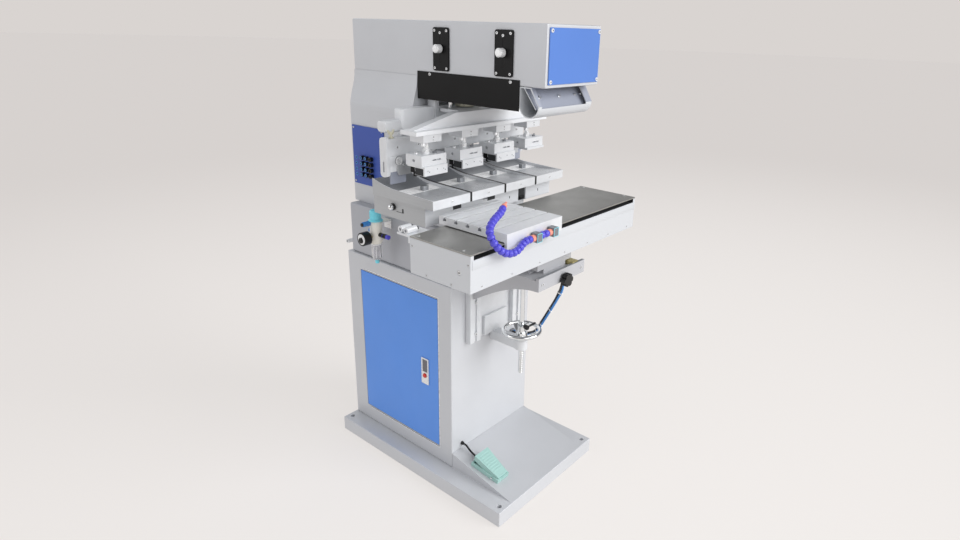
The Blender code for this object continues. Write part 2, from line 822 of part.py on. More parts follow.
def side_door():
    """The door, a folded tray with a pin at each end of its hinge edge."""
    half = CABINET_WIDTH / 2
    front, rear = DOORWAY_FRONT_Y + DOOR_MARGIN, DOORWAY_REAR_Y - DOOR_MARGIN
    bottom, top = DOORWAY_BOTTOM_Z + DOOR_MARGIN, DOORWAY_TOP_Z - DOOR_MARGIN
    body = box((-half, DOOR_DEPTH - half), (front, rear), (bottom, top))
    hollow = box(
        (DOOR_SHEET - half, DOOR_DEPTH - half + OVERRUN),
        (front + DOOR_SHEET, rear - DOOR_SHEET),
        (bottom + DOOR_SHEET, top - DOOR_SHEET),
    )
    cut(body, hollow)
    pins = [
        rod(door_hinge_point(), Z, HINGE_PIN_RADIUS, start, end, SMALL_SIDES)
        for start, end in (
            (bottom - HINGE_PIN_LENGTH, bottom + DOOR_DEPTH),
            (top - DOOR_DEPTH, top + HINGE_PIN_LENGTH),
        )
    ]
    joined(body, *pins)
    lock_front, lock_rear = lock_body_span()
    opening = box(
        (-half - OVERRUN, DOOR_SHEET - half + OVERRUN),
        (lock_front - GAP, lock_rear + GAP),
        (LOCK_BOTTOM_Z + LOCK_BODY_MARGIN - GAP, LOCK_BOTTOM_Z + LOCK_HEIGHT - LOCK_BODY_MARGIN + GAP),
    )
    cut(body, opening)
    return finished(body, "side_door", "blue_paint", door_hinge_point())


def lock_body_span():
    """The lock body's front and rear sides."""
    return LOCK_FRONT_Y + LOCK_BODY_MARGIN, LOCK_FRONT_Y + LOCK_WIDTH - LOCK_BODY_MARGIN


def door_lock():
    """The flush lock: a plate on the door, its body behind, a recess and the button's bore."""
    face = -CABINET_WIDTH / 2
    outer = face - LOCK_THICKNESS - GAP
    plate = box(
        (outer, face - GAP), (LOCK_FRONT_Y, LOCK_FRONT_Y + LOCK_WIDTH),
        (LOCK_BOTTOM_Z, LOCK_BOTTOM_Z + LOCK_HEIGHT), LOCK_THICKNESS / 2, (X,),
    )
    body = box(
        (face - SINK, face + LOCK_BODY_DEPTH), lock_body_span(),
        (LOCK_BOTTOM_Z + LOCK_BODY_MARGIN, LOCK_BOTTOM_Z + LOCK_HEIGHT - LOCK_BODY_MARGIN),
    )
    joined(plate, body)
    middle = LOCK_FRONT_Y + LOCK_WIDTH / 2
    recess = box(
        (outer - OVERRUN, outer + LOCK_RECESS_DEPTH), lock_body_span(),
        (LOCK_BUTTON_Z + LOCK_BUTTON_RADIUS + LOCK_BODY_MARGIN,
         LOCK_BOTTOM_Z + LOCK_HEIGHT - LOCK_BODY_MARGIN),
    )
    bore = rod(
        (0.0, middle, LOCK_BUTTON_Z), X, LOCK_BUTTON_RADIUS + RUNNING_GAP,
        outer - OVERRUN, face + LOCK_BUTTON_TRAVEL + LOCK_THICKNESS,
    )
    cut(plate, recess, bore)
    return finished(plate, "door_lock", "black_plastic")


def lock_button():
    """The lock's round push button."""
    face = -CABINET_WIDTH / 2
    middle = LOCK_FRONT_Y + LOCK_WIDTH / 2
    centre = (0.0, middle, LOCK_BUTTON_Z)
    body = rod(
        centre, X, LOCK_BUTTON_RADIUS, face - LOCK_THICKNESS - LOCK_BUTTON_PROUD,
        face + LOCK_THICKNESS - GAP, ROUND_SIDES, LOCK_THICKNESS / 4,
    )
    return finished(body, "lock_button", "red_plastic", (face, middle, LOCK_BUTTON_Z))


def middle_body():
    """The pedestal between the cabinet and the column."""
    half = MIDDLE_WIDTH / 2
    body = box(
        (-half, half), (CABINET_FRONT_Y, MIDDLE_REAR_Y),
        (CABINET_TOP_Z + GAP, MIDDLE_TOP_Z), MIDDLE_EDGE,
    )
    return finished(body, "middle_body", "silver_paint")


# Column, head and what is fixed to them


def flare_half_width(z):
    """Half the column's width at a height: wide below the flare, as wide as the head above it."""
    share = min(1.0, max(0.0, (z - FLARE_BOTTOM_Z) / (HEAD_BOTTOM_Z - FLARE_BOTTOM_Z)))
    blend = (1.0 + math.cos(math.pi * share)) / 2
    return HEAD_WIDTH / 2 + (COLUMN_WIDTH - HEAD_WIDTH) / 2 * blend


def flare_outline(bottom, top):
    """The front outline of the column or the neck between two heights."""
    heights = [bottom] + [
        z for z in (
            FLARE_BOTTOM_Z + (HEAD_BOTTOM_Z - FLARE_BOTTOM_Z) * step / FLARE_STEPS
            for step in range(FLARE_STEPS + 1)
        ) if bottom < z < top
    ] + [top]
    right = [(flare_half_width(z), z) for z in heights]
    return right + [(-x, z) for x, z in reversed(right)]


def rounded(item, axis, edge, where):
    """Round the straight edges along an axis whose middle meets a test."""
    bm = bmesh.new()
    bm.from_mesh(item.data)
    chosen = [
        line for line in bm.edges
        if along(line) == axis and where((line.verts[0].co + line.verts[1].co) / 2)
    ]
    bmesh.ops.bevel(
        bm, geom=chosen, offset=edge, offset_type="OFFSET", segments=EDGE_SEGMENTS,
        profile=0.5, affect="EDGES", material=-1, clamp_overlap=True,
    )
    bm.to_mesh(item.data)
    bm.free()
    return item


def head_housing():
    """The column that flares into the long head, with the neck block under the head's rear."""
    column = prism(
        flare_outline(MIDDLE_TOP_Z + GAP, HEAD_BOTTOM_Z + SINK), Y, COLUMN_FRONT_Y, HEAD_REAR_Y,
    )
    rounded(column, Z, COLUMN_EDGE, lambda mid: mid.z < FLARE_BOTTOM_Z)
    neck = prism(flare_outline(NECK_BOTTOM_Z, HEAD_BOTTOM_Z + SINK), Y, NECK_FRONT_Y, HEAD_REAR_Y - SINK)
    rounded(neck, X, NECK_EDGE, lambda mid: mid.z < NECK_BOTTOM_Z + SINK and mid.y < COLUMN_FRONT_Y)
    half = HEAD_WIDTH / 2
    head = box((-half, half), (HEAD_FRONT_Y, HEAD_REAR_Y), (HEAD_BOTTOM_Z, HEAD_TOP_Z), HEAD_EDGE)
    joined(head, column, neck, slide_rail(-1), slide_rail(1))
    return finished(head, "head_housing", "silver_paint")


def slide_rail(side):
    """A linear rail under the head on one side."""
    return box(
        span(side * RAIL_X, RAIL_WIDTH), (RAIL_FRONT_Y, NECK_FRONT_Y + SINK),
        (HEAD_BOTTOM_Z - RAIL_HEIGHT, HEAD_BOTTOM_Z + SINK),
    )


def front_plate():
    """The blue plate on the head's front."""
    half = HEAD_WIDTH / 2 - FRONT_PLATE_MARGIN
    body = box(
        (-half, half),
        (HEAD_FRONT_Y - GAP - FRONT_PLATE_THICKNESS, HEAD_FRONT_Y - GAP),
        (HEAD_BOTTOM_Z + FRONT_PLATE_MARGIN, HEAD_TOP_Z - FRONT_PLATE_MARGIN),
        FRONT_PLATE_EDGE,
    )
    return finished(body, "front_plate", "blue_paint")


def valve_panel():
    """The blue pneumatics panel on the column's left side with its block of push-in fittings."""
    face = -COLUMN_WIDTH / 2 - GAP
    body = box(
        (face - VALVE_PANEL_THICKNESS, face), (VALVE_PANEL_FRONT_Y, VALVE_PANEL_REAR_Y),
        (VALVE_PANEL_BOTTOM_Z, VALVE_PANEL_TOP_Z), FRONT_PLATE_EDGE, (X,),
    )
    outer = face - VALVE_PANEL_THICKNESS
    fittings, bores = [], []
    for column in range(FITTING_COLUMNS):
        for row in range(FITTING_ROWS):
            centre = (
                0.0, FITTING_FIRST_Y + (column - 1) * FITTING_PITCH_Y,
                FITTING_FIRST_Z + row * FITTING_PITCH_Z,
            )
            fittings.append(
                rod(centre, X, FITTING_RADIUS, outer - FITTING_LENGTH, outer + SINK, FITTING_SIDES)
            )
            bores.append(
                rod(
                    centre, X, FITTING_BORE_RADIUS, outer - FITTING_LENGTH - OVERRUN,
                    outer - SINK, FITTING_SIDES,
                )
            )
    joined(body, *fittings)
    cut(body, *bores)
    return finished(body, "valve_panel", "dark_blue_paint")


def slot_plate(name, front_y):
    """A plate with a long slot in which a stroke knob is set."""
    face = -HEAD_WIDTH / 2 - GAP
    body = box(
        (face - SLOT_PLATE_THICKNESS, face), (front_y, front_y + SLOT_PLATE_WIDTH),
        (SLOT_PLATE_BOTTOM_Z, SLOT_PLATE_TOP_Z), SLOT_PLATE_CORNER, (X,),
    )
    middle = front_y + SLOT_PLATE_WIDTH / 2
    slot = box(
        (face - SLOT_PLATE_THICKNESS - OVERRUN, face + OVERRUN), span(middle, SLOT_WIDTH),
        (SLOT_PLATE_BOTTOM_Z + SLOT_END_MARGIN, SLOT_PLATE_TOP_Z - SLOT_END_MARGIN),
    )
    cut(body, slot)
    return finished(body, name, "black_paint")


def stroke_knob(name, front_y):
    """The round knob that slides in a slot plate and clamps there."""
    face = -HEAD_WIDTH / 2 - GAP
    middle = front_y + SLOT_PLATE_WIDTH / 2
    centre = (0.0, middle, SLOT_KNOB_Z)
    outer = face - SLOT_PLATE_THICKNESS - GAP
    body = rod(
        centre, X, SLOT_KNOB_RADIUS, outer - SLOT_KNOB_LENGTH, outer, ROUND_SIDES,
        SLOT_KNOB_STEM_RADIUS,
    )
    stem = rod(centre, X, SLOT_KNOB_STEM_RADIUS, outer - SINK, face - GAP, SMALL_SIDES)
    joined(body, stem)
    return finished(body, name, "aluminium", (outer, middle, SLOT_KNOB_Z))


def side_cover(name):
    """A thin cover over the carriage's slides, on the left side."""
    face = -HEAD_WIDTH / 2 - GAP
    body = box(
        (face - COVER_THICKNESS, face), (COVER_FRONT_Y, COVER_REAR_Y), (COVER_BOTTOM_Z, COVER_TOP_Z),
    )
    return finished(body, name, "black_paint")


def trough_outline(inset):
    """The half-round section of the control trough, drawn in by a sheet's thickness."""
    top = HEAD_BOTTOM_Z - GAP - inset
    rear, front = TROUGH_REAR_Y - inset, TROUGH_FRONT_Y + inset
    bottom = TROUGH_BOTTOM_Z + inset
    middle = (rear + front) / 2
    half_depth = (rear - front) / 2
    shoulder = bottom + half_depth
    points = [(rear, top), (front + TROUGH_GUSSET, top), (front, shoulder)]
    for step in range(1, TROUGH_ARC_STEPS):
        angle = math.pi * (1.0 + step / TROUGH_ARC_STEPS)
        points.append((middle + half_depth * math.cos(angle), shoulder + half_depth * math.sin(angle)))
    points.append((rear, shoulder))
    return points


def control_trough():
    """The half-round trough under the head's front, open at its ends, with a sloping setting panel."""
    half = HEAD_WIDTH / 2
    body = prism(trough_outline(0.0), X, -half, half)
    inner = trough_outline(TROUGH_SHEET)
    hollow = prism(inner, X, -half - OVERRUN, half - TROUGH_SHEET)
    cut(body, hollow)
    window = prism(
        [
            (TROUGH_FRONT_Y - OVERRUN, HEAD_BOTTOM_Z - TROUGH_SHEET),
            (TROUGH_FRONT_Y - OVERRUN, TROUGH_BOTTOM_Z + TROUGH_GUSSET),
            (TROUGH_PANEL_LOW_Y, TROUGH_BOTTOM_Z + TROUGH_GUSSET),
            (TROUGH_PANEL_TOP_Y, HEAD_BOTTOM_Z - TROUGH_SHEET),
        ],
        X, TROUGH_GUSSET / 2 - half, half - TROUGH_GUSSET,
    )
    cut(body, window)
    panel = prism(
        [
            (TROUGH_PANEL_LOW_Y, TROUGH_BOTTOM_Z + TROUGH_GUSSET - TROUGH_SHEET),
            (TROUGH_PANEL_LOW_Y + TROUGH_SHEET, TROUGH_BOTTOM_Z + TROUGH_GUSSET - TROUGH_SHEET),
            (TROUGH_PANEL_TOP_Y + TROUGH_SHEET, HEAD_BOTTOM_Z - TROUGH_SHEET),
            (TROUGH_PANEL_TOP_Y, HEAD_BOTTOM_Z - TROUGH_SHEET),
        ],
        X, -half + TROUGH_SHEET, half - SINK,
    )
    joined(body, panel)
    return finished(body, "control_trough", "silver_paint")


# Carriage, guide rods and pad beam


def carriage():
    """The carriage under the head: shoes on the rails, rod bores and hangers for the blade unit."""
    y_range = (CARRIAGE_FRONT_Y, CARRIAGE_REAR_Y)
    x_range = (-CARRIAGE_HALF_WIDTH, CARRIAGE_HALF_WIDTH)
    body = box(x_range, y_range, (CARRIAGE_BOTTOM_Z, CARRIAGE_TOP_Z), SINK)
    for side in (-1, 1):
        shoe = box(
            span(side * RAIL_X, CARRIAGE_SHOE_WIDTH), y_range, (CARRIAGE_TOP_Z - SINK, CARRIAGE_SHOE_TOP_Z),
        )
        hanger = box(
            span(side * HANGER_HALF_SPACING, HANGER_WIDTH),
            (BLADE_BEAM_FRONT_Y - HANGER_WIDTH, CARRIAGE_REAR_Y),
            (BLADE_BEAM_BOTTOM_Z, CARRIAGE_BOTTOM_Z + SINK),
        )
        joined(body, shoe, hanger)
        groove = box(
            span(side * RAIL_X, RAIL_WIDTH + 2 * RUNNING_GAP),
            (CARRIAGE_FRONT_Y - OVERRUN, CARRIAGE_REAR_Y + OVERRUN),
            (HEAD_BOTTOM_Z - RAIL_HEIGHT - RUNNING_GAP, CARRIAGE_SHOE_TOP_Z + OVERRUN),
        )
        cut(body, groove)
    joined(body, blade_beam(), gland(0.0, GLAND_RADIUS, GLAND_HEIGHT), gland(ROD_X, BUSH_RADIUS, BUSH_HEIGHT))
    for x, radius in lift_rods():
        cut(body, rod((x, ROD_Y, 0.0), Z, radius + RUNNING_GAP,
                      CARRIAGE_BOTTOM_Z - GLAND_HEIGHT - OVERRUN, CARRIAGE_TOP_Z + OVERRUN))
    return finished(body, "carriage", "aluminium")


def lift_rods():
    """The (place, radius) of the two guide rods and the piston rod between them."""
    return (-ROD_X, ROD_RADIUS), (0.0, PISTON_RADIUS), (ROD_X, ROD_RADIUS)


def gland(x, radius, height):
    """A turned gland under the carriage in which a rod slides."""
    low, high = CARRIAGE_BOTTOM_Z - height, CARRIAGE_BOTTOM_Z + SINK
    return rod((x, ROD_Y, 0.0), Z, radius, low, high, ROUND_SIDES, SINK)


def blade_beam():
    """The round-ended cross beam that carries the blade unit's pivots."""
    rear = BLADE_BEAM_FRONT_Y + BLADE_BEAM_DEPTH
    bottom, top = BLADE_BEAM_BOTTOM_Z, BLADE_BEAM_BOTTOM_Z + BLADE_BEAM_HEIGHT
    bar = box(
        (-BLADE_BEAM_HALF_LENGTH, BLADE_BEAM_HALF_LENGTH), (BLADE_BEAM_FRONT_Y, rear), (bottom, top),
        BLADE_BEAM_HEIGHT / 4, (X, Y),
    )
    for side in (-1, 1):
        ear = box(
            span(side * BLADE_EAR_X, HANGER_WIDTH),
            (BLADE_BEAM_FRONT_Y - BLADE_PIVOT_EAR, rear - BLADE_PIVOT_EAR),
            (BLADE_PIVOT_Z - BLADE_PIVOT_EAR, bottom + SINK),
        )
        joined(bar, ear)
    pivot_bore = rod(
        blade_pivot_point(), X, BLADE_PIVOT_RADIUS + RUNNING_GAP,
        -BLADE_BEAM_HALF_LENGTH, BLADE_BEAM_HALF_LENGTH, SMALL_SIDES,
    )
    return cut(bar, pivot_bore)


def pad_beam():
    """The cross beam: a flange, a tapering web and the seat with the lift rods."""
    flange = box(
        (-BEAM_HALF_LENGTH, BEAM_HALF_LENGTH), span(BEAM_Y, BEAM_FLANGE_DEPTH),
        (BEAM_BOTTOM_Z, BEAM_BOTTOM_Z + BEAM_FLANGE_HEIGHT), SINK / 2,
    )
    web_bottom = BEAM_BOTTOM_Z + BEAM_FLANGE_HEIGHT - SINK
    web_foot = BEAM_HALF_LENGTH - BEAM_FLANGE_HEIGHT
    web = prism(
        [
            (-web_foot, web_bottom), (web_foot, web_bottom),
            (web_foot, web_bottom + 2 * SINK),
            (BEAM_WEB_TOP_HALF_LENGTH, BEAM_WEB_TOP_Z), (-BEAM_WEB_TOP_HALF_LENGTH, BEAM_WEB_TOP_Z),
            (-web_foot, web_bottom + 2 * SINK),
        ],
        Y, *span(BEAM_Y, BEAM_WEB_THICKNESS),
    )
    seat = box(
        (-BEAM_SEAT_HALF_LENGTH, BEAM_SEAT_HALF_LENGTH), (BEAM_Y, BEAM_SEAT_REAR_Y),
        (BEAM_WEB_TOP_Z - BEAM_SEAT_HEIGHT, BEAM_WEB_TOP_Z),
    )
    rods = [
        rod((x, ROD_Y, 0.0), Z, radius, BEAM_WEB_TOP_Z - SINK, ROD_TOP_Z, ROUND_SIDES, SINK / 2)
        for x, radius in lift_rods()
    ]
    joined(flange, web, seat, *rods)
    return finished(flange, "pad_beam", "aluminium")


def station_x(index):
    """The centre of a station, counted from the left."""
    return (index - (STATION_COUNT - 1) / 2) * STATION_PITCH


def pad_jaw(x):
    """The clamp jaw under a holder's block, notched where a pad's base slides in."""
    rear = JAW_FRONT_Y + JAW_DEPTH
    body = box(
        span(x, JAW_WIDTH), (JAW_FRONT_Y, rear), (JAW_BOTTOM_Z, HOLDER_BLOCK_BOTTOM_Z + SINK), SINK / 2,
    )
    notch = box(
        (x - JAW_WIDTH / 2 - OVERRUN, x + JAW_WIDTH / 2 + OVERRUN),
        (rear - JAW_NOTCH_DEPTH, rear + OVERRUN),
        (JAW_BOTTOM_Z + 2 * SINK, JAW_BOTTOM_Z + 2 * SINK + JAW_NOTCH_HEIGHT),
    )
    return cut(body, notch)


def pad_holder(index):
    """A holder under the beam: its cap, stud, nut, the slotted block and the clamp jaw."""
    x = station_x(index)
    top = BEAM_BOTTOM_Z - GAP
    cap_bottom = top - HOLDER_CAP_HEIGHT
    body = box(span(x, HOLDER_CAP_WIDTH), span(BEAM_Y, HOLDER_CAP_DEPTH), (cap_bottom, top), SINK / 2)
    block = box(
        span(x, HOLDER_BLOCK_WIDTH), span(BEAM_Y, HOLDER_BLOCK_DEPTH),
        (HOLDER_BLOCK_BOTTOM_Z, HOLDER_BLOCK_TOP_Z), SINK / 2,
    )
    front = BEAM_Y - HOLDER_BLOCK_DEPTH / 2
    slot_z = (HOLDER_BLOCK_BOTTOM_Z + HOLDER_BLOCK_TOP_Z) / 2
    slots = [
        box(
            span(x + side * HOLDER_SLOT_WIDTH, HOLDER_SLOT_WIDTH - SINK),
            (front - OVERRUN, front + HOLDER_SLOT_DEPTH), span(slot_z, HOLDER_SLOT_HEIGHT),
        )
        for side in (0, 1)
    ]
    hole = rod(
        (0.0, BEAM_Y, slot_z), X, HOLDER_HOLE_RADIUS, x - HOLDER_BLOCK_WIDTH / 2 - OVERRUN,
        x - HOLDER_BLOCK_WIDTH / 2 + HOLDER_SLOT_DEPTH, SMALL_SIDES,
    )
    cut(block, *slots, hole)
    low, high = HOLDER_BLOCK_TOP_Z - SINK, cap_bottom + SINK
    stud = rod((x, BEAM_Y, 0.0), Z, HOLDER_STUD_RADIUS, low, high, SMALL_SIDES)
    nut = rod(
        (x, BEAM_Y, 0.0), Z, HOLDER_NUT_RADIUS, HOLDER_BLOCK_TOP_Z - SINK,
        HOLDER_BLOCK_TOP_Z + HOLDER_NUT_HEIGHT, 6,
    )
    joined(body, stud, nut, block, pad_jaw(x))
    return finished(body, f"pad_holder_{index + 1}", "aluminium")


# Doctor blade unit


def blade_pivot_point():
    """A point on the line about which the blade unit rocks."""
    return (0.0, BLADE_BEAM_FRONT_Y, BLADE_PIVOT_Z)


def blade_bar():
    """The rocking cross bar with its slotted end arms and pivot links."""
    rear = BLADE_BAR_FRONT_Y + BLADE_BAR_THICKNESS
    body = box(
        (-BLADE_BAR_HALF_LENGTH, BLADE_BAR_HALF_LENGTH), (BLADE_BAR_FRONT_Y, rear),
        (BLADE_BAR_BOTTOM_Z, BLADE_BAR_TOP_Z), SINK / 2,
    )
    for side in (-1, 1):
        outer = side * (BLADE_BAR_HALF_LENGTH - SINK)
        arm_y = span(BLADE_BAR_FRONT_Y + BLADE_ARM_DEPTH / 2, BLADE_ARM_DEPTH)
        arm = box(
            sorted((outer, outer + side * (BLADE_ARM_WIDTH + SINK))), arm_y,
            (BLADE_ARM_BOTTOM_Z, BLADE_ARM_TOP_Z), BLADE_ARM_DEPTH / 3, (X,),
        )
        joined(body, arm)
        slot = box(
            (side * (BLADE_BAR_HALF_LENGTH - 2 * SINK), side * (BLADE_BAR_HALF_LENGTH + 2 * BLADE_ARM_WIDTH)),
            span(BLADE_BAR_FRONT_Y + BLADE_ARM_DEPTH / 2, BLADE_ARM_SLOT_WIDTH),
            (BLADE_ARM_BOTTOM_Z + BLADE_ARM_DEPTH / 2,
             BLADE_ARM_BOTTOM_Z + BLADE_ARM_DEPTH / 2 + BLADE_ARM_SLOT_LENGTH),
        )
        cut(body, slot)
        for inner in (-1, 1):
            link = box(
                span(side * BLADE_EAR_X + inner * (HANGER_WIDTH + RUNNING_GAP + SINK), HANGER_WIDTH),
                (rear - SINK, BLADE_BEAM_FRONT_Y + BLADE_PIVOT_EAR),
                (BLADE_PIVOT_Z - BLADE_PIVOT_EAR, BLADE_PIVOT_Z + BLADE_PIVOT_EAR),
                BLADE_PIVOT_EAR / 3, (X,),
            )
            joined(body, link)
    return body


def swinging_bar():
    """The blade bar with the pivot pins that pass through the carriage's ears."""
    body = blade_bar()
    for side in (-1, 1):
        pin = rod(
            blade_pivot_point(), X, BLADE_PIVOT_RADIUS,
            side * BLADE_EAR_X - HANGER_WIDTH * 3 / 2, side * BLADE_EAR_X + HANGER_WIDTH * 3 / 2, SMALL_SIDES,
        )
        joined(body, pin)
    return finished(body, "blade_bar", "aluminium", blade_pivot_point())


def scraper_bar():
    """The lower bar, held between the end arms, with a leaning spatula plate at each station."""
    inner = BLADE_BAR_HALF_LENGTH - SINK - GAP
    middle = BLADE_BAR_FRONT_Y + BLADE_ARM_DEPTH / 2
    bottom, top = BLADE_LOWER_BAR_TOP_Z - BLADE_LOWER_BAR_HEIGHT, BLADE_LOWER_BAR_TOP_Z
    body = box((-inner, inner), span(middle, BLADE_LOWER_BAR_DEPTH), (bottom, top), SINK / 2)
    face = middle - BLADE_LOWER_BAR_DEPTH / 2
    for index in range(STATION_COUNT):
        plate = prism(
            [
                (face + SINK, top - SINK), (face - SCRAPER_THICKNESS, top - SINK),
                (face - SCRAPER_THICKNESS - SCRAPER_LEAN, SCRAPER_BOTTOM_Z),
                (face - SCRAPER_LEAN, SCRAPER_BOTTOM_Z), (face + SINK, bottom + SINK),
            ],
            X, *span(station_x(index), SCRAPER_WIDTH),
        )
        joined(body, plate)
    return finished(body, "scraper_bar", "grey_plastic")


def wing_screw():
    """The wing screw on the blade bar's left end."""
    base = BLADE_BAR_TOP_Z
    middle = BLADE_BAR_FRONT_Y + BLADE_BAR_THICKNESS / 2
    centre = (WING_X, middle, 0.0)
    body = turned(
        [
            (0.0, base + GAP), (WING_RADIUS * 2, base + GAP), (WING_RADIUS * 2, base + WING_THICKNESS),
            (WING_RADIUS, base + WING_THICKNESS), (WING_RADIUS, base + WING_STEM + WING_HEIGHT / 2),
            (0.0, base + WING_STEM + WING_HEIGHT / 2),
        ],
        centre, Z, SMALL_SIDES,
    )
    top = base + WING_STEM + WING_HEIGHT
    for side in (-1, 1):
        wing = prism(
            [
                (WING_X, base + WING_THICKNESS + SINK), (WING_X + side * WING_SPAN / 3, base + WING_STEM),
                (WING_X + side * WING_SPAN / 2, top), (WING_X + side * WING_SPAN / 3, top),
                (WING_X, base + WING_STEM),
            ],
            Y, *span(middle, WING_THICKNESS),
        )
        joined(body, wing)
    return finished(body, "wing_screw", "aluminium", (WING_X, middle, base))


# Ink trays and their table


def tray_top(y):
    """The height of a tray's side walls above its bottom, level in front and rising to the rear."""
    if y <= TRAY_MIDDLE_Y:
        share = (y - TRAY_FRONT_Y) / (TRAY_MIDDLE_Y - TRAY_FRONT_Y)
        return TRAY_FRONT_HEIGHT + (TRAY_MIDDLE_HEIGHT - TRAY_FRONT_HEIGHT) * share
    share = (y - TRAY_MIDDLE_Y) / (TRAY_REAR_Y - TRAY_MIDDLE_Y)
    return TRAY_MIDDLE_HEIGHT + (TRAY_REAR_HEIGHT - TRAY_MIDDLE_HEIGHT) * share ** 2


def tray_outline():
    """The side outline of a tray."""
    points = [(TRAY_REAR_Y, TRAY_BOTTOM_Z), (TRAY_FRONT_Y, TRAY_BOTTOM_Z)]
    places = [TRAY_FRONT_Y] + [
        TRAY_MIDDLE_Y + (TRAY_REAR_Y - TRAY_MIDDLE_Y) * step / TRAY_PROFILE_STEPS
        for step in range(TRAY_PROFILE_STEPS + 1)
    ]
    return points + [(y, TRAY_BOTTOM_Z + tray_top(y)) for y in places]


def cliche(x):
    """The printing plate in a tray's well with its magnet post."""
    width = STATION_PITCH - TRAY_GAP - 2 * TRAY_WALL - 2 * CLICHE_MARGIN
    floor = TRAY_BOTTOM_Z + TRAY_FLOOR_HEIGHT
    body = box(
        span(x, width), (TRAY_SHELF_REAR_Y + CLICHE_MARGIN, CLICHE_REAR_Y),
        (floor - SINK, floor + CLICHE_THICKNESS), CLICHE_THICKNESS / 8,
    )
    post = box(
        span(x, POST_WIDTH), (CLICHE_REAR_Y - POST_DEPTH - CLICHE_MARGIN, CLICHE_REAR_Y - CLICHE_MARGIN),
        (floor + SINK, floor + CLICHE_THICKNESS + POST_HEIGHT), SINK / 2,
    )
    return joined(body, post)


def ink_tray(index):
    """A tray with a level front shelf, a sunk well behind it and the printing plate in the well."""
    x = station_x(index)
    width = STATION_PITCH - TRAY_GAP
    body = prism(tray_outline(), X, *span(x, width))
    well = box(
        span(x, width - 2 * TRAY_WALL), (TRAY_SHELF_REAR_Y, TRAY_REAR_Y - TRAY_WALL),
        (TRAY_BOTTOM_Z + TRAY_FLOOR_HEIGHT, TRAY_BOTTOM_Z + 2 * TRAY_REAR_HEIGHT),
    )
    cut(body, well)
    joined(body, cliche(x))
    return finished(body, f"ink_tray_{index + 1}", "aluminium")


def tray_table():
    """The beam that carries the trays, slotted in front, on a foot that stands on the middle body."""
    body = box(
        (-TABLE_HALF_LENGTH, TABLE_HALF_LENGTH), (TABLE_FRONT_Y, TABLE_REAR_Y),
        (TABLE_BOTTOM_Z, TRAY_BOTTOM_Z - GAP), TABLE_EDGE,
    )
    foot = box(
        (-TABLE_FOOT_HALF_LENGTH, TABLE_FOOT_HALF_LENGTH), (TABLE_FOOT_FRONT_Y, TABLE_FOOT_REAR_Y),
        (MIDDLE_TOP_Z + GAP, TABLE_BOTTOM_Z + SINK),
    )
    joined(body, foot)
    slots = [
        box(
            span(x, TABLE_SLOT_WIDTH), (TABLE_FRONT_Y - OVERRUN, TABLE_FRONT_Y + TABLE_SLOT_DEPTH),
            span(TABLE_SLOT_Z, TABLE_SLOT_HEIGHT),
        )
        for x in TABLE_SLOT_XS
    ]
    notch = box(
        span(TABLE_NOTCH_X, TABLE_NOTCH_WIDTH), (TABLE_FRONT_Y - OVERRUN, TABLE_FRONT_Y + TABLE_SLOT_DEPTH),
        (TABLE_BOTTOM_Z - OVERRUN, TABLE_NOTCH_TOP_Z),
    )
    cut(body, *slots, notch)
    return finished(body, "tray_table", "aluminium")


# Shuttle


def shuttle_groove_z():
    """The groove's bottom and top under the shuttle's cover."""
    top = SHUTTLE_TOP_Z - SHUTTLE_PLATE_THICKNESS
    return top - SHUTTLE_GROOVE_HEIGHT, top


def shuttle_housing():
    """The long housing with the groove that the worktable's tongue runs in, and its stop plate."""
    inner = SHUTTLE_HALF_LENGTH
    groove_bottom, top = shuttle_groove_z()
    y_range = (SHUTTLE_FRONT_Y, SHUTTLE_REAR_Y)
    body = box((-inner, inner), y_range, (SHUTTLE_BOTTOM_Z, top - GAP), SINK / 2, (X,))
    groove = box(
        (SHUTTLE_GROOVE_END - inner, inner - SHUTTLE_GROOVE_END),
        (SHUTTLE_FRONT_Y - OVERRUN, SHUTTLE_FRONT_Y + SHUTTLE_GROOVE_DEPTH), (groove_bottom, top + OVERRUN),
    )
    cut(body, groove)
    return finished(body, "shuttle_housing", "aluminium")


def shuttle_top():
    """The flat cover over the housing."""
    inner = SHUTTLE_HALF_LENGTH
    _, bottom = shuttle_groove_z()
    body = box((-inner, inner), (SHUTTLE_FRONT_Y, SHUTTLE_REAR_Y), (bottom, SHUTTLE_TOP_Z), SINK / 4)
    return finished(body, "shuttle_top", "brushed_steel")


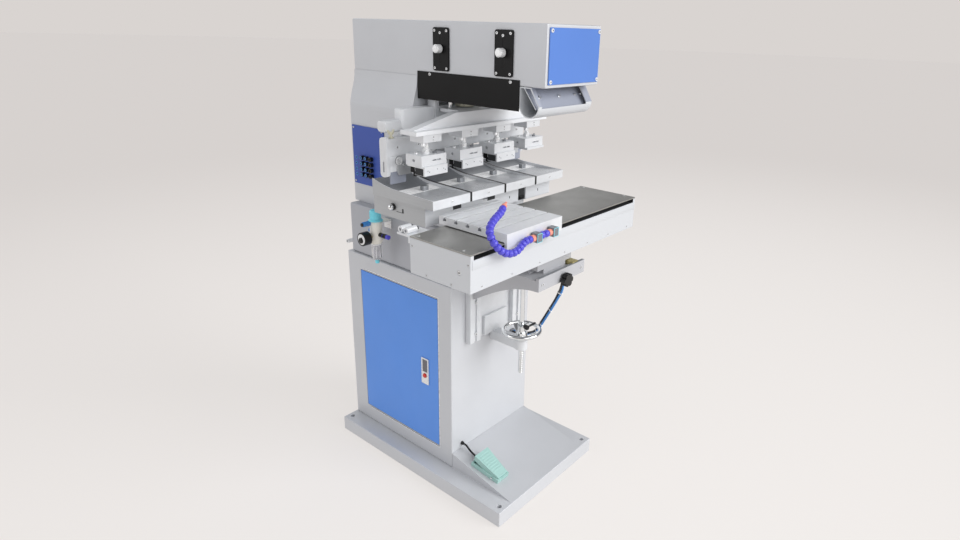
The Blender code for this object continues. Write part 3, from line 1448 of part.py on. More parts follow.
def stop_plate():
    """The plate behind the housing's left end with the two shock absorbers that stop the table."""
    top = SHUTTLE_TOP_Z
    front = SHUTTLE_REAR_Y + GAP
    inner = STOP_PLATE_LENGTH - SHUTTLE_HALF_LENGTH
    body = box(
        (-SHUTTLE_HALF_LENGTH, inner), (front, STOP_PLATE_REAR_Y),
        (top - STOP_PLATE_THICKNESS, top), SINK / 4,
    )
    flange = box(
        (-SHUTTLE_HALF_LENGTH, inner), (front, front + STOP_PLATE_THICKNESS),
        (top - STOP_SPACING, top - STOP_PLATE_THICKNESS + SINK),
    )
    joined(body, flange)
    middle = (SHUTTLE_REAR_Y + STOP_PLATE_REAR_Y) / 2 + SINK * 2
    for side in (-1, 1):
        centre = (0.0, middle + side * STOP_SPACING / 2, top + STOP_RADIUS - SINK / 2)
        barrel = rod(
            centre, X, STOP_RADIUS, SINK - SHUTTLE_HALF_LENGTH,
            SINK - SHUTTLE_HALF_LENGTH + STOP_LENGTH, ROUND_SIDES, SINK / 2,
        )
        plunger = rod(
            centre, X, STOP_BORE_RADIUS, STOP_LENGTH - SHUTTLE_HALF_LENGTH,
            STOP_LENGTH - SHUTTLE_HALF_LENGTH + STOP_RADIUS, SMALL_SIDES,
        )
        bore = rod(
            centre, X, STOP_BORE_RADIUS, -OVERRUN - SHUTTLE_HALF_LENGTH,
            SINK - SHUTTLE_HALF_LENGTH + STOP_RADIUS, SMALL_SIDES,
        )
        joined(body, barrel, plunger)
        cut(body, bore)
    return finished(body, "stop_plate", "aluminium")


def worktable():
    """The slotted table with its front apron and the tongue in the shuttle's groove."""
    x_range = (WORKTABLE_X - WORKTABLE_HALF_LENGTH, WORKTABLE_X + WORKTABLE_HALF_LENGTH)
    top, bottom = WORKTABLE_TOP_Z, WORKTABLE_TOP_Z - WORKTABLE_PLATE
    body = box(x_range, (WORKTABLE_FRONT_Y, WORKTABLE_REAR_Y), (bottom, top), SINK / 2)
    groove_bottom, groove_top = shuttle_groove_z()
    lip_rear = SHUTTLE_FRONT_Y - GAP
    lip = box(x_range, (WORKTABLE_FRONT_Y, lip_rear), (WORKTABLE_APRON_BOTTOM_Z, bottom + SINK))
    tongue_z = span((groove_bottom + groove_top) / 2, TONGUE_HEIGHT)
    tongue = box(
        span(WORKTABLE_X, TONGUE_LENGTH),
        (lip_rear - SINK, SHUTTLE_FRONT_Y + SHUTTLE_GROOVE_DEPTH * 3 / 4), tongue_z,
    )
    joined(body, lip, tongue)
    first = WORKTABLE_FRONT_Y + WORKTABLE_APRON_DEPTH
    pitch = (WORKTABLE_REAR_Y - first) / T_SLOT_COUNT
    for index in range(T_SLOT_COUNT):
        y = first + (index + 0.5) * pitch
        mouth, foot = T_SLOT_MOUTH / 2, T_SLOT_FOOT / 2
        neck = top - T_SLOT_MOUTH_DEPTH
        outline = [
            (y - mouth, top + OVERRUN), (y - mouth, neck), (y - foot, neck),
            (y - foot, neck - T_SLOT_FOOT_DEPTH), (y + foot, neck - T_SLOT_FOOT_DEPTH),
            (y + foot, neck), (y + mouth, neck), (y + mouth, top + OVERRUN),
        ]
        cut(body, prism(outline, X, x_range[0] - OVERRUN, x_range[1] + OVERRUN))
    return finished(body, "worktable", "aluminium")


# Knee


def guide_plate():
    """The vertical slide on the cabinet's front: a back plate and two rails."""
    rear = CABINET_FRONT_Y - GAP
    body = box(
        (-GUIDE_HALF_WIDTH, GUIDE_HALF_WIDTH), (rear - GUIDE_BASE_DEPTH, rear), (GUIDE_BOTTOM_Z, GUIDE_TOP_Z),
    )
    for side in (-1, 1):
        inner = GUIDE_HALF_WIDTH - GUIDE_RAIL_WIDTH
        rail = box(
            (side * inner, side * GUIDE_HALF_WIDTH), (rear - GUIDE_RAIL_DEPTH, rear - SINK),
            (GUIDE_BOTTOM_Z, GUIDE_TOP_Z), SINK / 2, (Z,),
        )
        joined(body, rail)
        groove = box(
            span(side * (inner + GUIDE_RAIL_WIDTH / 2), KNEE_WALL),
            (rear - GUIDE_RAIL_DEPTH - OVERRUN, rear - GUIDE_RAIL_DEPTH + GUIDE_BASE_DEPTH),
            (GUIDE_BOTTOM_Z - OVERRUN, GUIDE_TOP_Z + OVERRUN),
        )
        cut(body, groove)
    return finished(body, "guide_plate", "aluminium")


def knee_rear():
    """The knee's rear face, just in front of the guide's rails."""
    return CABINET_FRONT_Y - GAP - GUIDE_RAIL_DEPTH - RUNNING_GAP


def knee_underside(share):
    """The knee's lower edge from its root (0) to its front (1)."""
    rise = math.sin(math.pi / 2 * share)
    return KNEE_TOP_Z - KNEE_ROOT_HEIGHT + (KNEE_ROOT_HEIGHT - KNEE_FRONT_HEIGHT) * rise


def knee_pillar():
    """The block between the knee and the shuttle, notched at its front corners."""
    body = box(
        (-PILLAR_HALF_WIDTH, PILLAR_HALF_WIDTH), (PILLAR_FRONT_Y, PILLAR_REAR_Y),
        (KNEE_TOP_Z - SINK, SHUTTLE_BOTTOM_Z - GAP), SINK / 2,
    )
    for side in (-1, 1):
        notch = box(
            (side * (PILLAR_HALF_WIDTH + OVERRUN), side * (PILLAR_HALF_WIDTH - KNEE_NOTCH_WIDTH)),
            (PILLAR_FRONT_Y - OVERRUN, PILLAR_FRONT_Y + KNEE_NOTCH_WIDTH),
            (KNEE_TOP_Z - OVERRUN, KNEE_TOP_Z + KNEE_NOTCH_DEPTH),
        )
        cut(body, notch)
    return body


def tube_socket(side):
    """A socket under the knee's deck that an air tube enters."""
    first = TUBE_ROUTE[0]
    top = KNEE_TOP_Z - KNEE_WALL
    centre = (first[0] + side * TUBE_SPACING, first[1], 0.0)
    return rod(centre, Z, TUBE_SPACING / 2, top - TUBE_SOCKET_LENGTH, top + SINK, SMALL_SIDES)


def knee_arm():
    """The knee: curved cheeks, a deck, a front plate, the slide between the rails and the pillar on top."""
    rear, front = knee_rear(), KNEE_FRONT_Y
    curve = [
        (rear + (front - rear) * step / KNEE_CURVE_STEPS, knee_underside(step / KNEE_CURVE_STEPS))
        for step in range(KNEE_CURVE_STEPS + 1)
    ]
    body = prism([(rear, KNEE_TOP_Z), *curve, (front, KNEE_TOP_Z)], X, -KNEE_HALF_WIDTH, KNEE_HALF_WIDTH)
    inner = KNEE_HALF_WIDTH - KNEE_WALL
    hollow = box(
        (-inner, inner), (front + KNEE_WALL, rear - KNEE_WALL),
        (KNEE_TOP_Z - KNEE_ROOT_HEIGHT - OVERRUN, KNEE_TOP_Z - KNEE_WALL),
    )
    cut(body, hollow)
    plate = box(
        (-KNEE_HALF_WIDTH, KNEE_HALF_WIDTH), (front, front + KNEE_WALL - SINK),
        (KNEE_TOP_Z - KNEE_FRONT_HEIGHT, KNEE_TOP_Z + KNEE_FRONT_LIP),
    )
    slide_half = GUIDE_HALF_WIDTH - GUIDE_RAIL_WIDTH - RUNNING_GAP
    slide = box(
        (-slide_half, slide_half),
        (rear - SINK, CABINET_FRONT_Y - GAP - GUIDE_BASE_DEPTH - RUNNING_GAP),
        (KNEE_TOP_Z - KNEE_SLIDE_HEIGHT, KNEE_TOP_Z),
    )
    joined(body, plate, slide, knee_pillar(), tube_socket(0), tube_socket(-1))
    knob_hole = rod(
        (STAR_KNOB_X, 0.0, STAR_KNOB_Z), Y, STAR_KNOB_STEM_RADIUS + RUNNING_GAP,
        front - OVERRUN, front + KNEE_WALL + OVERRUN, SMALL_SIDES,
    )
    cut(body, knob_hole)
    return finished(body, "knee_arm", "aluminium")


def lead_screw():
    """The lifting screw under the knee with its flange at the top."""
    top = KNEE_TOP_Z - KNEE_WALL - GAP
    body = turned(
        [
            (0.0, SCREW_BOTTOM_Z), (SCREW_RADIUS - SINK / 2, SCREW_BOTTOM_Z),
            (SCREW_RADIUS, SCREW_BOTTOM_Z + SINK / 2), (SCREW_RADIUS, top - SCREW_NUT_HEIGHT),
            (SCREW_NUT_RADIUS, top - SCREW_NUT_HEIGHT), (SCREW_NUT_RADIUS, top), (0.0, top),
        ],
        (0.0, SCREW_Y, 0.0), Z, FINE_SIDES,
    )
    return finished(body, "lead_screw", "chrome")


def screw_bracket():
    """The bracket on the guide that holds the handwheel's bearing boss."""
    rear = CABINET_FRONT_Y - 2 * GAP - GUIDE_BASE_DEPTH
    bottom = BRACKET_BOSS_TOP_Z - BRACKET_BOSS_HEIGHT
    body = box(
        (-BRACKET_HALF_WIDTH, BRACKET_HALF_WIDTH), (rear - BRACKET_PLATE_DEPTH, rear),
        (BRACKET_BOTTOM_Z, BRACKET_TOP_Z), SINK / 2,
    )
    arm = box(
        (-BRACKET_ARM_HALF_WIDTH, BRACKET_ARM_HALF_WIDTH), (SCREW_Y, rear - SINK),
        (bottom + SINK, BRACKET_BOSS_TOP_Z - SINK),
    )
    boss = rod((0.0, SCREW_Y, 0.0), Z, BRACKET_BOSS_RADIUS, bottom, BRACKET_BOSS_TOP_Z, FINE_SIDES, SINK / 2)
    joined(body, arm, boss)
    cut(body, rod((0.0, SCREW_Y, 0.0), Z, SCREW_RADIUS + RUNNING_GAP,
                  bottom - OVERRUN, BRACKET_BOSS_TOP_Z + OVERRUN, FINE_SIDES))
    return finished(body, "screw_bracket", "aluminium")


def handwheel():
    """The spoked handwheel, its hub and the collar that the lock lever clamps."""
    centre = (0.0, SCREW_Y, 0.0)
    bottom = BRACKET_BOSS_TOP_Z + GAP
    collar_top = LEVER_Z + LEVER_BOSS_RADIUS + SINK
    hub = turned(
        [
            (0.0, bottom), (WHEEL_HUB_RADIUS, bottom), (WHEEL_HUB_RADIUS, WHEEL_HUB_TOP_Z),
            (COLLAR_RADIUS, WHEEL_HUB_TOP_Z), (COLLAR_RADIUS, collar_top), (0.0, collar_top),
        ],
        centre, Z, FINE_SIDES,
    )
    ring = [
        (WHEEL_RADIUS + WHEEL_RIM_RADIUS * math.cos(angle), WHEEL_RIM_Z + WHEEL_RIM_RADIUS * math.sin(angle))
        for angle in (math.tau * step / SMALL_SIDES for step in range(SMALL_SIDES))
    ]
    rim = ring_solid(ring, centre)
    spokes = []
    for index in range(WHEEL_SPOKES):
        spoke = prism(
            [
                (WHEEL_HUB_RADIUS - SINK, bottom + WHEEL_SPOKE_THICKNESS / 2),
                (WHEEL_RADIUS, WHEEL_RIM_Z - WHEEL_SPOKE_THICKNESS / 2),
                (WHEEL_RADIUS, WHEEL_RIM_Z + WHEEL_SPOKE_THICKNESS / 2),
                (WHEEL_HUB_RADIUS - SINK, bottom + WHEEL_SPOKE_THICKNESS * 3 / 2),
            ],
            Y, *span(0.0, WHEEL_SPOKE_WIDTH),
        )
        turn = Matrix.Rotation(math.tau * (index + 0.5) / WHEEL_SPOKES, 4, "Z")
        spoke.data.transform(Matrix.Translation(centre) @ turn)
        spokes.append(spoke)
    joined(hub, rim, *spokes)
    cut(hub, rod(centre, Z, SCREW_RADIUS + RUNNING_GAP, bottom - OVERRUN, collar_top + OVERRUN, FINE_SIDES))
    return finished(hub, "handwheel", "chrome", (0.0, SCREW_Y, WHEEL_RIM_Z))


def ring_solid(section, centre):
    """A closed section of (radius, height) points turned into a ring about Z."""
    bm = bmesh.new()
    rings = []
    for index in range(WHEEL_RIM_SIDES):
        angle = math.tau * index / WHEEL_RIM_SIDES
        rings.append([
            bm.verts.new((r * math.cos(angle), r * math.sin(angle), z)) for r, z in section
        ])
    for index, ring in enumerate(rings):
        following = rings[(index + 1) % WHEEL_RIM_SIDES]
        for place in range(len(section)):
            after = (place + 1) % len(section)
            bm.faces.new((ring[place], ring[after], following[after], following[place]))
    return moved(solid(bm), centre)


def lock_lever():
    """The clamping lever on the wheel's collar: a round boss and a tapered arm."""
    face = SCREW_Y - COLLAR_RADIUS - GAP
    body = rod(
        (0.0, 0.0, LEVER_Z), Y, LEVER_BOSS_RADIUS, face - LEVER_BOSS_LENGTH, face,
        ROUND_SIDES, LEVER_ROOT_RADIUS / 2,
    )
    middle = face - LEVER_BOSS_LENGTH / 2
    arm = turned(
        [
            (0.0, 0.0), (LEVER_ROOT_RADIUS, 0.0), (LEVER_TIP_RADIUS, LEVER_LENGTH - LEVER_TIP_RADIUS),
            (LEVER_TIP_RADIUS / 2, LEVER_LENGTH), (0.0, LEVER_LENGTH),
        ],
        (0.0, middle, LEVER_Z), X, SMALL_SIDES,
    )
    joined(body, arm)
    return finished(body, "lock_lever", "black_plastic", (0.0, middle, LEVER_Z))


def star_knob():
    """The lobed clamping knob on the knee's front plate."""
    front = KNEE_FRONT_Y - GAP
    outline = []
    steps = STAR_KNOB_LOBES * 6
    for step in range(steps):
        angle = math.tau * step / steps
        radius = STAR_KNOB_RADIUS - STAR_KNOB_NOTCH * (1.0 - abs(math.cos(angle * STAR_KNOB_LOBES / 2))) ** 2
        outline.append((STAR_KNOB_X + radius * math.cos(angle), STAR_KNOB_Z + radius * math.sin(angle)))
    body = prism(outline, Y, front - STAR_KNOB_DEPTH, front - STAR_KNOB_STEM_RADIUS)
    stem = rod(
        (STAR_KNOB_X, 0.0, STAR_KNOB_Z), Y, STAR_KNOB_STEM_RADIUS,
        front - STAR_KNOB_STEM_RADIUS - SINK, KNEE_FRONT_Y + KNEE_WALL, SMALL_SIDES,
    )
    hub = rod(
        (STAR_KNOB_X, 0.0, STAR_KNOB_Z), Y, STAR_KNOB_RADIUS / 2,
        front - STAR_KNOB_STEM_RADIUS - SINK, front, ROUND_SIDES,
    )
    joined(body, stem, hub)
    return finished(body, "star_knob", "black_plastic", (STAR_KNOB_X, KNEE_FRONT_Y, STAR_KNOB_Z))


# Modular hose on the worktable


def hose_y():
    """The plane in which the hose's blocks stand, before the apron."""
    return WORKTABLE_FRONT_Y - GAP - HOSE_BLOCK_DEPTH / 2


def hose_block():
    """The block screwed to the apron, with its collar."""
    body = box(
        span(HOSE_BLOCK_X, HOSE_BLOCK_WIDTH), span(hose_y(), HOSE_BLOCK_DEPTH),
        span(HOSE_Z, HOSE_BLOCK_HEIGHT), SINK / 2,
    )
    left = HOSE_BLOCK_X - HOSE_BLOCK_WIDTH / 2
    collar = rod((0.0, hose_y(), HOSE_Z), X, HOSE_COLLAR_RADIUS, left - HOSE_COLLAR_LENGTH, left + SINK)
    joined(body, collar)
    return finished(body, "hose_block", "grey_plastic")


def valve_block():
    """The small shut-off block between the two stretches of hose, with its collar."""
    body = box(
        span(VALVE_BLOCK_X, HOSE_BLOCK_WIDTH), span(hose_y(), HOSE_BLOCK_DEPTH),
        span(HOSE_Z, HOSE_BLOCK_HEIGHT), SINK,
    )
    left = VALVE_BLOCK_X - HOSE_BLOCK_WIDTH / 2
    collar = rod((0.0, hose_y(), HOSE_Z), X, HOSE_COLLAR_RADIUS, left - HOSE_COLLAR_LENGTH, left + SINK)
    joined(body, collar)
    return finished(body, "valve_block", "grey_plastic")


def beaded_tube(points):
    """A beaded hose with an open bore: each bead is a wide and a narrow ring."""
    shares = [1.0 if index % 2 else HOSE_NECK_SHARE for index in range(len(points))]
    outer = meshed(tube(points, HOSE_BEAD_RADIUS, shares))
    ahead = (points[-1] - points[-2]).normalized() * OVERRUN
    behind = (points[0] - points[1]).normalized() * OVERRUN
    bore = meshed(tube([points[0] + behind, *points[1:-1:2], points[-1] + ahead], HOSE_BORE_RADIUS))
    return cut(outer, bore)


def hose_short():
    """The two beads between the fixed block and the valve block."""
    y = hose_y()
    right = HOSE_BLOCK_X - HOSE_BLOCK_WIDTH / 2 - HOSE_COLLAR_LENGTH - GAP
    left = VALVE_BLOCK_X + HOSE_BLOCK_WIDTH / 2 + GAP
    count = 2 * max(1, round((right - left) / HOSE_BEAD_PITCH))
    points = [Vector((right + (left - right) * step / count, y, HOSE_Z)) for step in range(count + 1)]
    return finished(beaded_tube(points), "hose_short", "violet_plastic")


def hose_end_direction():
    """The direction in which the hose's free end points."""
    before, tip = (Vector(point) for point in HOSE_ROUTE[-2:])
    return (tip - before).normalized()


def hose_long():
    """The long stretch of beads that curls over the table's corner, straight at both ends."""
    start = Vector((
        VALVE_BLOCK_X - HOSE_BLOCK_WIDTH / 2 - HOSE_COLLAR_LENGTH - GAP, hose_y(), HOSE_Z,
    ))
    step = HOSE_BEAD_PITCH / 2
    out, back = Vector((-step, 0.0, 0.0)), hose_end_direction() * -step
    tip = Vector(HOSE_ROUTE[-1])
    lead = [start + out * count for count in range(4)]
    tail = [tip + back * count for count in (3, 2, 1, 0)]
    middle = [lead[-2], lead[-1], *(Vector(point) for point in HOSE_ROUTE[:-1]), *tail[:2]]
    curve = smooth_route(middle, step, even=True)
    points = [*lead[:2], *curve, *tail[2:]]
    return finished(beaded_tube(points), "hose_long", "violet_plastic")


def nozzle():
    """The tapered nozzle at the hose's free end."""
    tip, ahead = Vector(HOSE_ROUTE[-1]), hose_end_direction()
    neck = HOSE_BEAD_RADIUS * HOSE_NECK_SHARE
    body = turned(
        [
            (neck, GAP), (neck, NOZZLE_LENGTH / 3), (NOZZLE_TIP_RADIUS, NOZZLE_LENGTH * 2 / 3),
            (NOZZLE_TIP_RADIUS, NOZZLE_LENGTH),
        ],
        (0.0, 0.0, 0.0), Z, ROUND_SIDES,
    )
    cut(body, rod((0.0, 0.0, 0.0), Z, NOZZLE_BORE_RADIUS, -OVERRUN, NOZZLE_LENGTH + OVERRUN, SMALL_SIDES))
    turn = Vector((0.0, 0.0, 1.0)).rotation_difference(ahead).to_matrix().to_4x4()
    body.data.transform(Matrix.Translation(tip) @ turn)
    return finished(body, "nozzle", "orange_plastic")


# Filter regulator


def regulator_body():
    """The regulator's body with its wall bracket, gauge stem, inlet port and outlet elbow."""
    centre = (REGULATOR_X, REGULATOR_Y, 0.0)
    top = REGULATOR_KNOB_TOP_Z - REGULATOR_KNOB_HEIGHT - GAP
    body = turned(
        [
            (0.0, REGULATOR_BODY_BOTTOM_Z), (REGULATOR_BOWL_RADIUS, REGULATOR_BODY_BOTTOM_Z),
            (REGULATOR_BODY_RADIUS, REGULATOR_BODY_BOTTOM_Z + PORT_RADIUS),
            (REGULATOR_BODY_RADIUS, REGULATOR_BRACKET_Z - PORT_RADIUS),
            (REGULATOR_KNOB_RADIUS, REGULATOR_BRACKET_Z), (REGULATOR_KNOB_RADIUS, top), (0.0, top),
        ],
        centre, Z, ROUND_SIDES,
    )
    wall = -MIDDLE_WIDTH / 2 - GAP
    half = REGULATOR_BRACKET_WIDTH / 2
    shelf = box(
        (REGULATOR_X, wall), (REGULATOR_Y - half, REGULATOR_Y + half),
        (REGULATOR_BRACKET_Z - REGULATOR_BRACKET_THICKNESS, REGULATOR_BRACKET_Z),
    )
    flange = box(
        (wall - REGULATOR_BRACKET_THICKNESS, wall), (REGULATOR_Y - half, REGULATOR_Y + half),
        (REGULATOR_BRACKET_Z - REGULATOR_BRACKET_FLANGE, REGULATOR_BRACKET_Z),
    )
    port = rod(
        (REGULATOR_X, 0.0, PORT_Z), Y, PORT_RADIUS, REGULATOR_Y, REGULATOR_Y + PORT_LENGTH, ROUND_SIDES,
        SINK / 2,
    )
    elbow = rod(
        (REGULATOR_X, 0.0, PORT_Z - ELBOW_RADIUS), Y, ELBOW_RADIUS, REGULATOR_Y - ELBOW_LENGTH, REGULATOR_Y,
        ROUND_SIDES, SINK / 2,
    )
    stem = rod(
        (0.0, REGULATOR_Y, GAUGE_Z), X, GAUGE_STEM_RADIUS,
        REGULATOR_X - REGULATOR_BODY_RADIUS - GAUGE_STEM, REGULATOR_X, SMALL_SIDES,
    )
    joined(body, shelf, flange, port, elbow, stem)
    return finished(body, "regulator_body", "cream_plastic")


def regulator_knob():
    """The ribbed setting knob on top."""
    centre = (REGULATOR_X, REGULATOR_Y, 0.0)
    bottom = REGULATOR_KNOB_TOP_Z - REGULATOR_KNOB_HEIGHT
    body = turned(
        [
            (0.0, bottom), (REGULATOR_KNOB_RADIUS + SINK / 2, bottom),
            (REGULATOR_KNOB_RADIUS, bottom + SINK), (REGULATOR_KNOB_RADIUS, REGULATOR_KNOB_TOP_Z - SINK),
            (REGULATOR_KNOB_RADIUS - SINK, REGULATOR_KNOB_TOP_Z), (0.0, REGULATOR_KNOB_TOP_Z),
        ],
        centre, Z, FINE_SIDES,
    )
    return finished(body, "regulator_knob", "cyan_plastic", (REGULATOR_X, REGULATOR_Y, bottom))


def pressure_gauge():
    """The round pressure gauge that faces left."""
    rear = REGULATOR_X - REGULATOR_BODY_RADIUS - GAUGE_STEM - GAP
    centre = (0.0, REGULATOR_Y, GAUGE_Z)
    body = rod(centre, X, GAUGE_RADIUS, rear - GAUGE_DEPTH, rear, FINE_SIDES, SINK / 2)
    dial = rod(
        centre, X, GAUGE_RADIUS - SINK, rear - GAUGE_DEPTH - OVERRUN, rear - GAUGE_DEPTH + SINK / 2, FINE_SIDES,
    )
    cut(body, dial)
    return finished(body, "pressure_gauge", "black_plastic")


def filter_bowl():
    """The clear filter bowl under the body, open at its top."""
    top = REGULATOR_BODY_BOTTOM_Z - GAP
    centre = (REGULATOR_X, REGULATOR_Y, 0.0)
    radius = REGULATOR_BOWL_RADIUS
    body = turned(
        [
            (0.0, REGULATOR_BOWL_BOTTOM_Z), (radius - 2 * SINK, REGULATOR_BOWL_BOTTOM_Z),
            (radius - SINK / 2, REGULATOR_BOWL_BOTTOM_Z + 2 * SINK), (radius, top), (0.0, top),
        ],
        centre, Z, ROUND_SIDES,
    )
    hollow = rod(
        centre, Z, radius - 2 * SINK - REGULATOR_BOWL_WALL / 2,
        REGULATOR_BOWL_BOTTOM_Z + REGULATOR_BOWL_WALL, top + OVERRUN, ROUND_SIDES,
    )
    cut(body, hollow)
    return finished(body, "filter_bowl", "clear_plastic")


def bowl_drain():
    """The drain cock under the bowl."""
    centre = (REGULATOR_X, REGULATOR_Y, 0.0)
    top = REGULATOR_BOWL_BOTTOM_Z - GAP
    body = rod(centre, Z, REGULATOR_DRAIN_RADIUS, top - REGULATOR_DRAIN_HEIGHT, top, SMALL_SIDES, SINK)
    return finished(body, "bowl_drain", "cyan_plastic", (REGULATOR_X, REGULATOR_Y, top))


def rear_elbow():
    """The exhaust elbow behind the middle body's left corner."""
    face = MIDDLE_REAR_Y + GAP
    stub = rod(
        (REAR_ELBOW_X, 0.0, REAR_ELBOW_Z), Y, ELBOW_RADIUS, face, face + 2 * ELBOW_RADIUS, ROUND_SIDES,
    )
    mouth = rod(
        (0.0, face + 2 * ELBOW_RADIUS, REAR_ELBOW_Z), X, ELBOW_RADIUS,
        REAR_ELBOW_X - ELBOW_LENGTH * 2 / 3, REAR_ELBOW_X + ELBOW_RADIUS, ROUND_SIDES,
    )
    joined(stub, mouth)
    bore = rod(
        (0.0, face + 2 * ELBOW_RADIUS, REAR_ELBOW_Z), X, ELBOW_RADIUS - SINK,
        REAR_ELBOW_X - ELBOW_LENGTH * 2 / 3 - OVERRUN, REAR_ELBOW_X, ROUND_SIDES,
    )
    cut(stub, bore)
    return finished(stub, "rear_elbow", "white_plastic")


# Foot pedal


def pedal_frame():
    """The pedal's own frame: its origin on the ramp under the nose, tilted with the ramp."""
    slope = math.atan2(RAMP_RISE, CABINET_FRONT_Y - RAMP_FRONT_INSET + BASE_DEPTH / 2)
    place = Vector((PEDAL_X, PEDAL_NOSE_Y, ramp_height(PEDAL_NOSE_Y) + GAP / math.cos(slope)))
    return Matrix.Translation(place) @ Matrix.Rotation(slope, 4, "X")


def pedal_outline(inset=0.0):
    """The pedal's plan, wider at its rear, in its own frame."""
    length = PEDAL_REAR_Y - PEDAL_NOSE_Y
    nose, rear = PEDAL_NOSE_WIDTH / 2 - inset, PEDAL_REAR_WIDTH / 2 - inset
    return [(-nose, inset), (nose, inset), (rear, length - inset), (-rear, length - inset)]


def pedal_pivot():
    """The treadle's pin, in the pedal's own frame."""
    return Vector((0.0, PEDAL_PIVOT_SETBACK, PEDAL_PIVOT_HEIGHT))


def pedal_base():
    """The pedal's base: a low tray with side walls that hold the pin, and the cord's gland."""
    body = prism(pedal_outline(), Z, 0.0, PEDAL_BASE_HEIGHT)
    well = prism(pedal_outline(PEDAL_WALL), Z, PEDAL_WALL, PEDAL_BASE_HEIGHT + OVERRUN)
    cut(body, well)
    pivot = pedal_pivot()
    cut(body, rod(pivot, X, PEDAL_PIN_RADIUS + RUNNING_GAP, -PEDAL_REAR_WIDTH, PEDAL_REAR_WIDTH, SMALL_SIDES))
    length = PEDAL_REAR_Y - PEDAL_NOSE_Y
    gland = rod(
        (0.0, 0.0, PEDAL_BASE_HEIGHT / 2), Y, CORD_GLAND_RADIUS, length - SINK, length + CORD_GLAND_LENGTH,
        SMALL_SIDES,
    )
    joined(body, gland)
    body.data.transform(pedal_frame())
    return finished(body, "pedal_base", "mint_paint")


def pedal_treadle():
    """The ribbed treadle with its skirt, on a pin through the base near its nose."""
    length = PEDAL_REAR_Y - PEDAL_NOSE_Y
    clear = PEDAL_WALL + RUNNING_GAP
    top_nose, top_rear = PEDAL_NOSE_HEIGHT, PEDAL_REAR_HEIGHT
    pivot = pedal_pivot()
    side = [
        (clear, pivot.z - PEDAL_TREAD_THICKNESS), (clear, top_nose), (length - clear, top_rear),
        (length - clear, PEDAL_BASE_HEIGHT + 2 * PEDAL_TREAD_THICKNESS),
        (length / 2, pivot.z),
        (pivot.y + PEDAL_TREAD_THICKNESS, pivot.z - PEDAL_TREAD_THICKNESS),
    ]
    body = prism(side, X, -PEDAL_REAR_WIDTH, PEDAL_REAR_WIDTH)
    plan = prism(pedal_outline(clear), Z, -PEDAL_REAR_HEIGHT, 2 * PEDAL_REAR_HEIGHT)
    combined(body, (plan,), "INTERSECT")
    rise = (top_rear - top_nose) / (length - 2 * clear)
    pitch = (length - PEDAL_PIVOT_SETBACK) / PEDAL_RIB_COUNT
    inner = PEDAL_NOSE_WIDTH / 2 - clear - PEDAL_RIB_HEIGHT
    for index in range(PEDAL_RIB_COUNT):
        start = PEDAL_PIVOT_SETBACK + (index + (1.0 - PEDAL_RIB_SHARE) / 2) * pitch
        end = start + pitch * PEDAL_RIB_SHARE
        if end > length - clear:
            continue
        heights = [top_nose + rise * (y - clear) for y in (start, end)]
        rib = prism(
            [
                (start, heights[0] - SINK), (end, heights[1] - SINK),
                (end, heights[1] + PEDAL_RIB_HEIGHT), (start, heights[0] + PEDAL_RIB_HEIGHT),
            ],
            X, -inner, inner,
        )
        joined(body, rib)
    under = prism(
        [
            (pivot.y + 2 * PEDAL_TREAD_THICKNESS, pivot.z - 2 * PEDAL_TREAD_THICKNESS),
            (pivot.y + 2 * PEDAL_TREAD_THICKNESS, top_nose + PEDAL_RIB_HEIGHT),
            (length + OVERRUN, top_rear - PEDAL_TREAD_THICKNESS),
            (length + OVERRUN, pivot.z - 2 * PEDAL_TREAD_THICKNESS),
        ],
        X, PEDAL_WALL - inner, inner - PEDAL_WALL,
    )
    cut(body, under)
    half = PEDAL_NOSE_WIDTH / 2
    joined(body, rod(pivot, X, PEDAL_PIN_RADIUS, -half, half, SMALL_SIDES))
    body.data.transform(pedal_frame())
    return finished(body, "pedal_treadle", "mint_paint", pedal_frame() @ pivot)


def pedal_cord():
    """The short cord from the pedal's gland to the grommet in the cabinet's front."""
    length = PEDAL_REAR_Y - PEDAL_NOSE_Y
    frame = pedal_frame()
    ahead = CORD_RADIUS * 4
    start = frame @ Vector((0.0, length + CORD_GLAND_LENGTH + GAP, PEDAL_BASE_HEIGHT / 2))
    out = frame @ Vector((0.0, length + CORD_GLAND_LENGTH + ahead, PEDAL_BASE_HEIGHT / 2))
    end = Vector((PEDAL_CORD_X, CABINET_FRONT_Y - CORD_GLAND_LENGTH - GAP, PEDAL_CORD_Z))
    before = end - Vector((0.0, ahead, 0.0))
    points = smooth_route([start, out, before, end], CORD_RADIUS * 4)
    return finished(tube(points, CORD_RADIUS), "pedal_cord", "black_plastic")


def cord_grommet():
    """The grommet in the cabinet's front that the pedal's cord enters."""
    body = rod(
        (PEDAL_CORD_X, 0.0, PEDAL_CORD_Z), Y, CORD_GLAND_RADIUS,
        CABINET_FRONT_Y - CORD_GLAND_LENGTH, CABINET_FRONT_Y + CABINET_WALL, SMALL_SIDES, SINK / 2,
    )
    return finished(body, "cord_grommet", "black_plastic")


# Air tubes


def tube_route(side):
    """The route of an air tube, the blue one (0) or the black one beside it (-1)."""
    shift = Vector((side * TUBE_SPACING, 0.0, 0.0))
    first, last = Vector(TUBE_ROUTE[0]), Vector(TUBE_ROUTE[-1])
    top = KNEE_TOP_Z - KNEE_WALL - TUBE_SOCKET_LENGTH - GAP
    start = Vector((first.x, first.y, top))
    under = Vector((first.x, first.y, top - 4 * TUBE_RADIUS))
    end = Vector((last.x, CABINET_FRONT_Y - TUBE_SOCKET_LENGTH - 2 * GAP, last.z))
    before = end - Vector((0.0, 4 * TUBE_RADIUS, 0.0))
    middle = [Vector(point) for point in TUBE_ROUTE[1:-1]]
    return [point + shift for point in (start, under, *middle, before, end)]


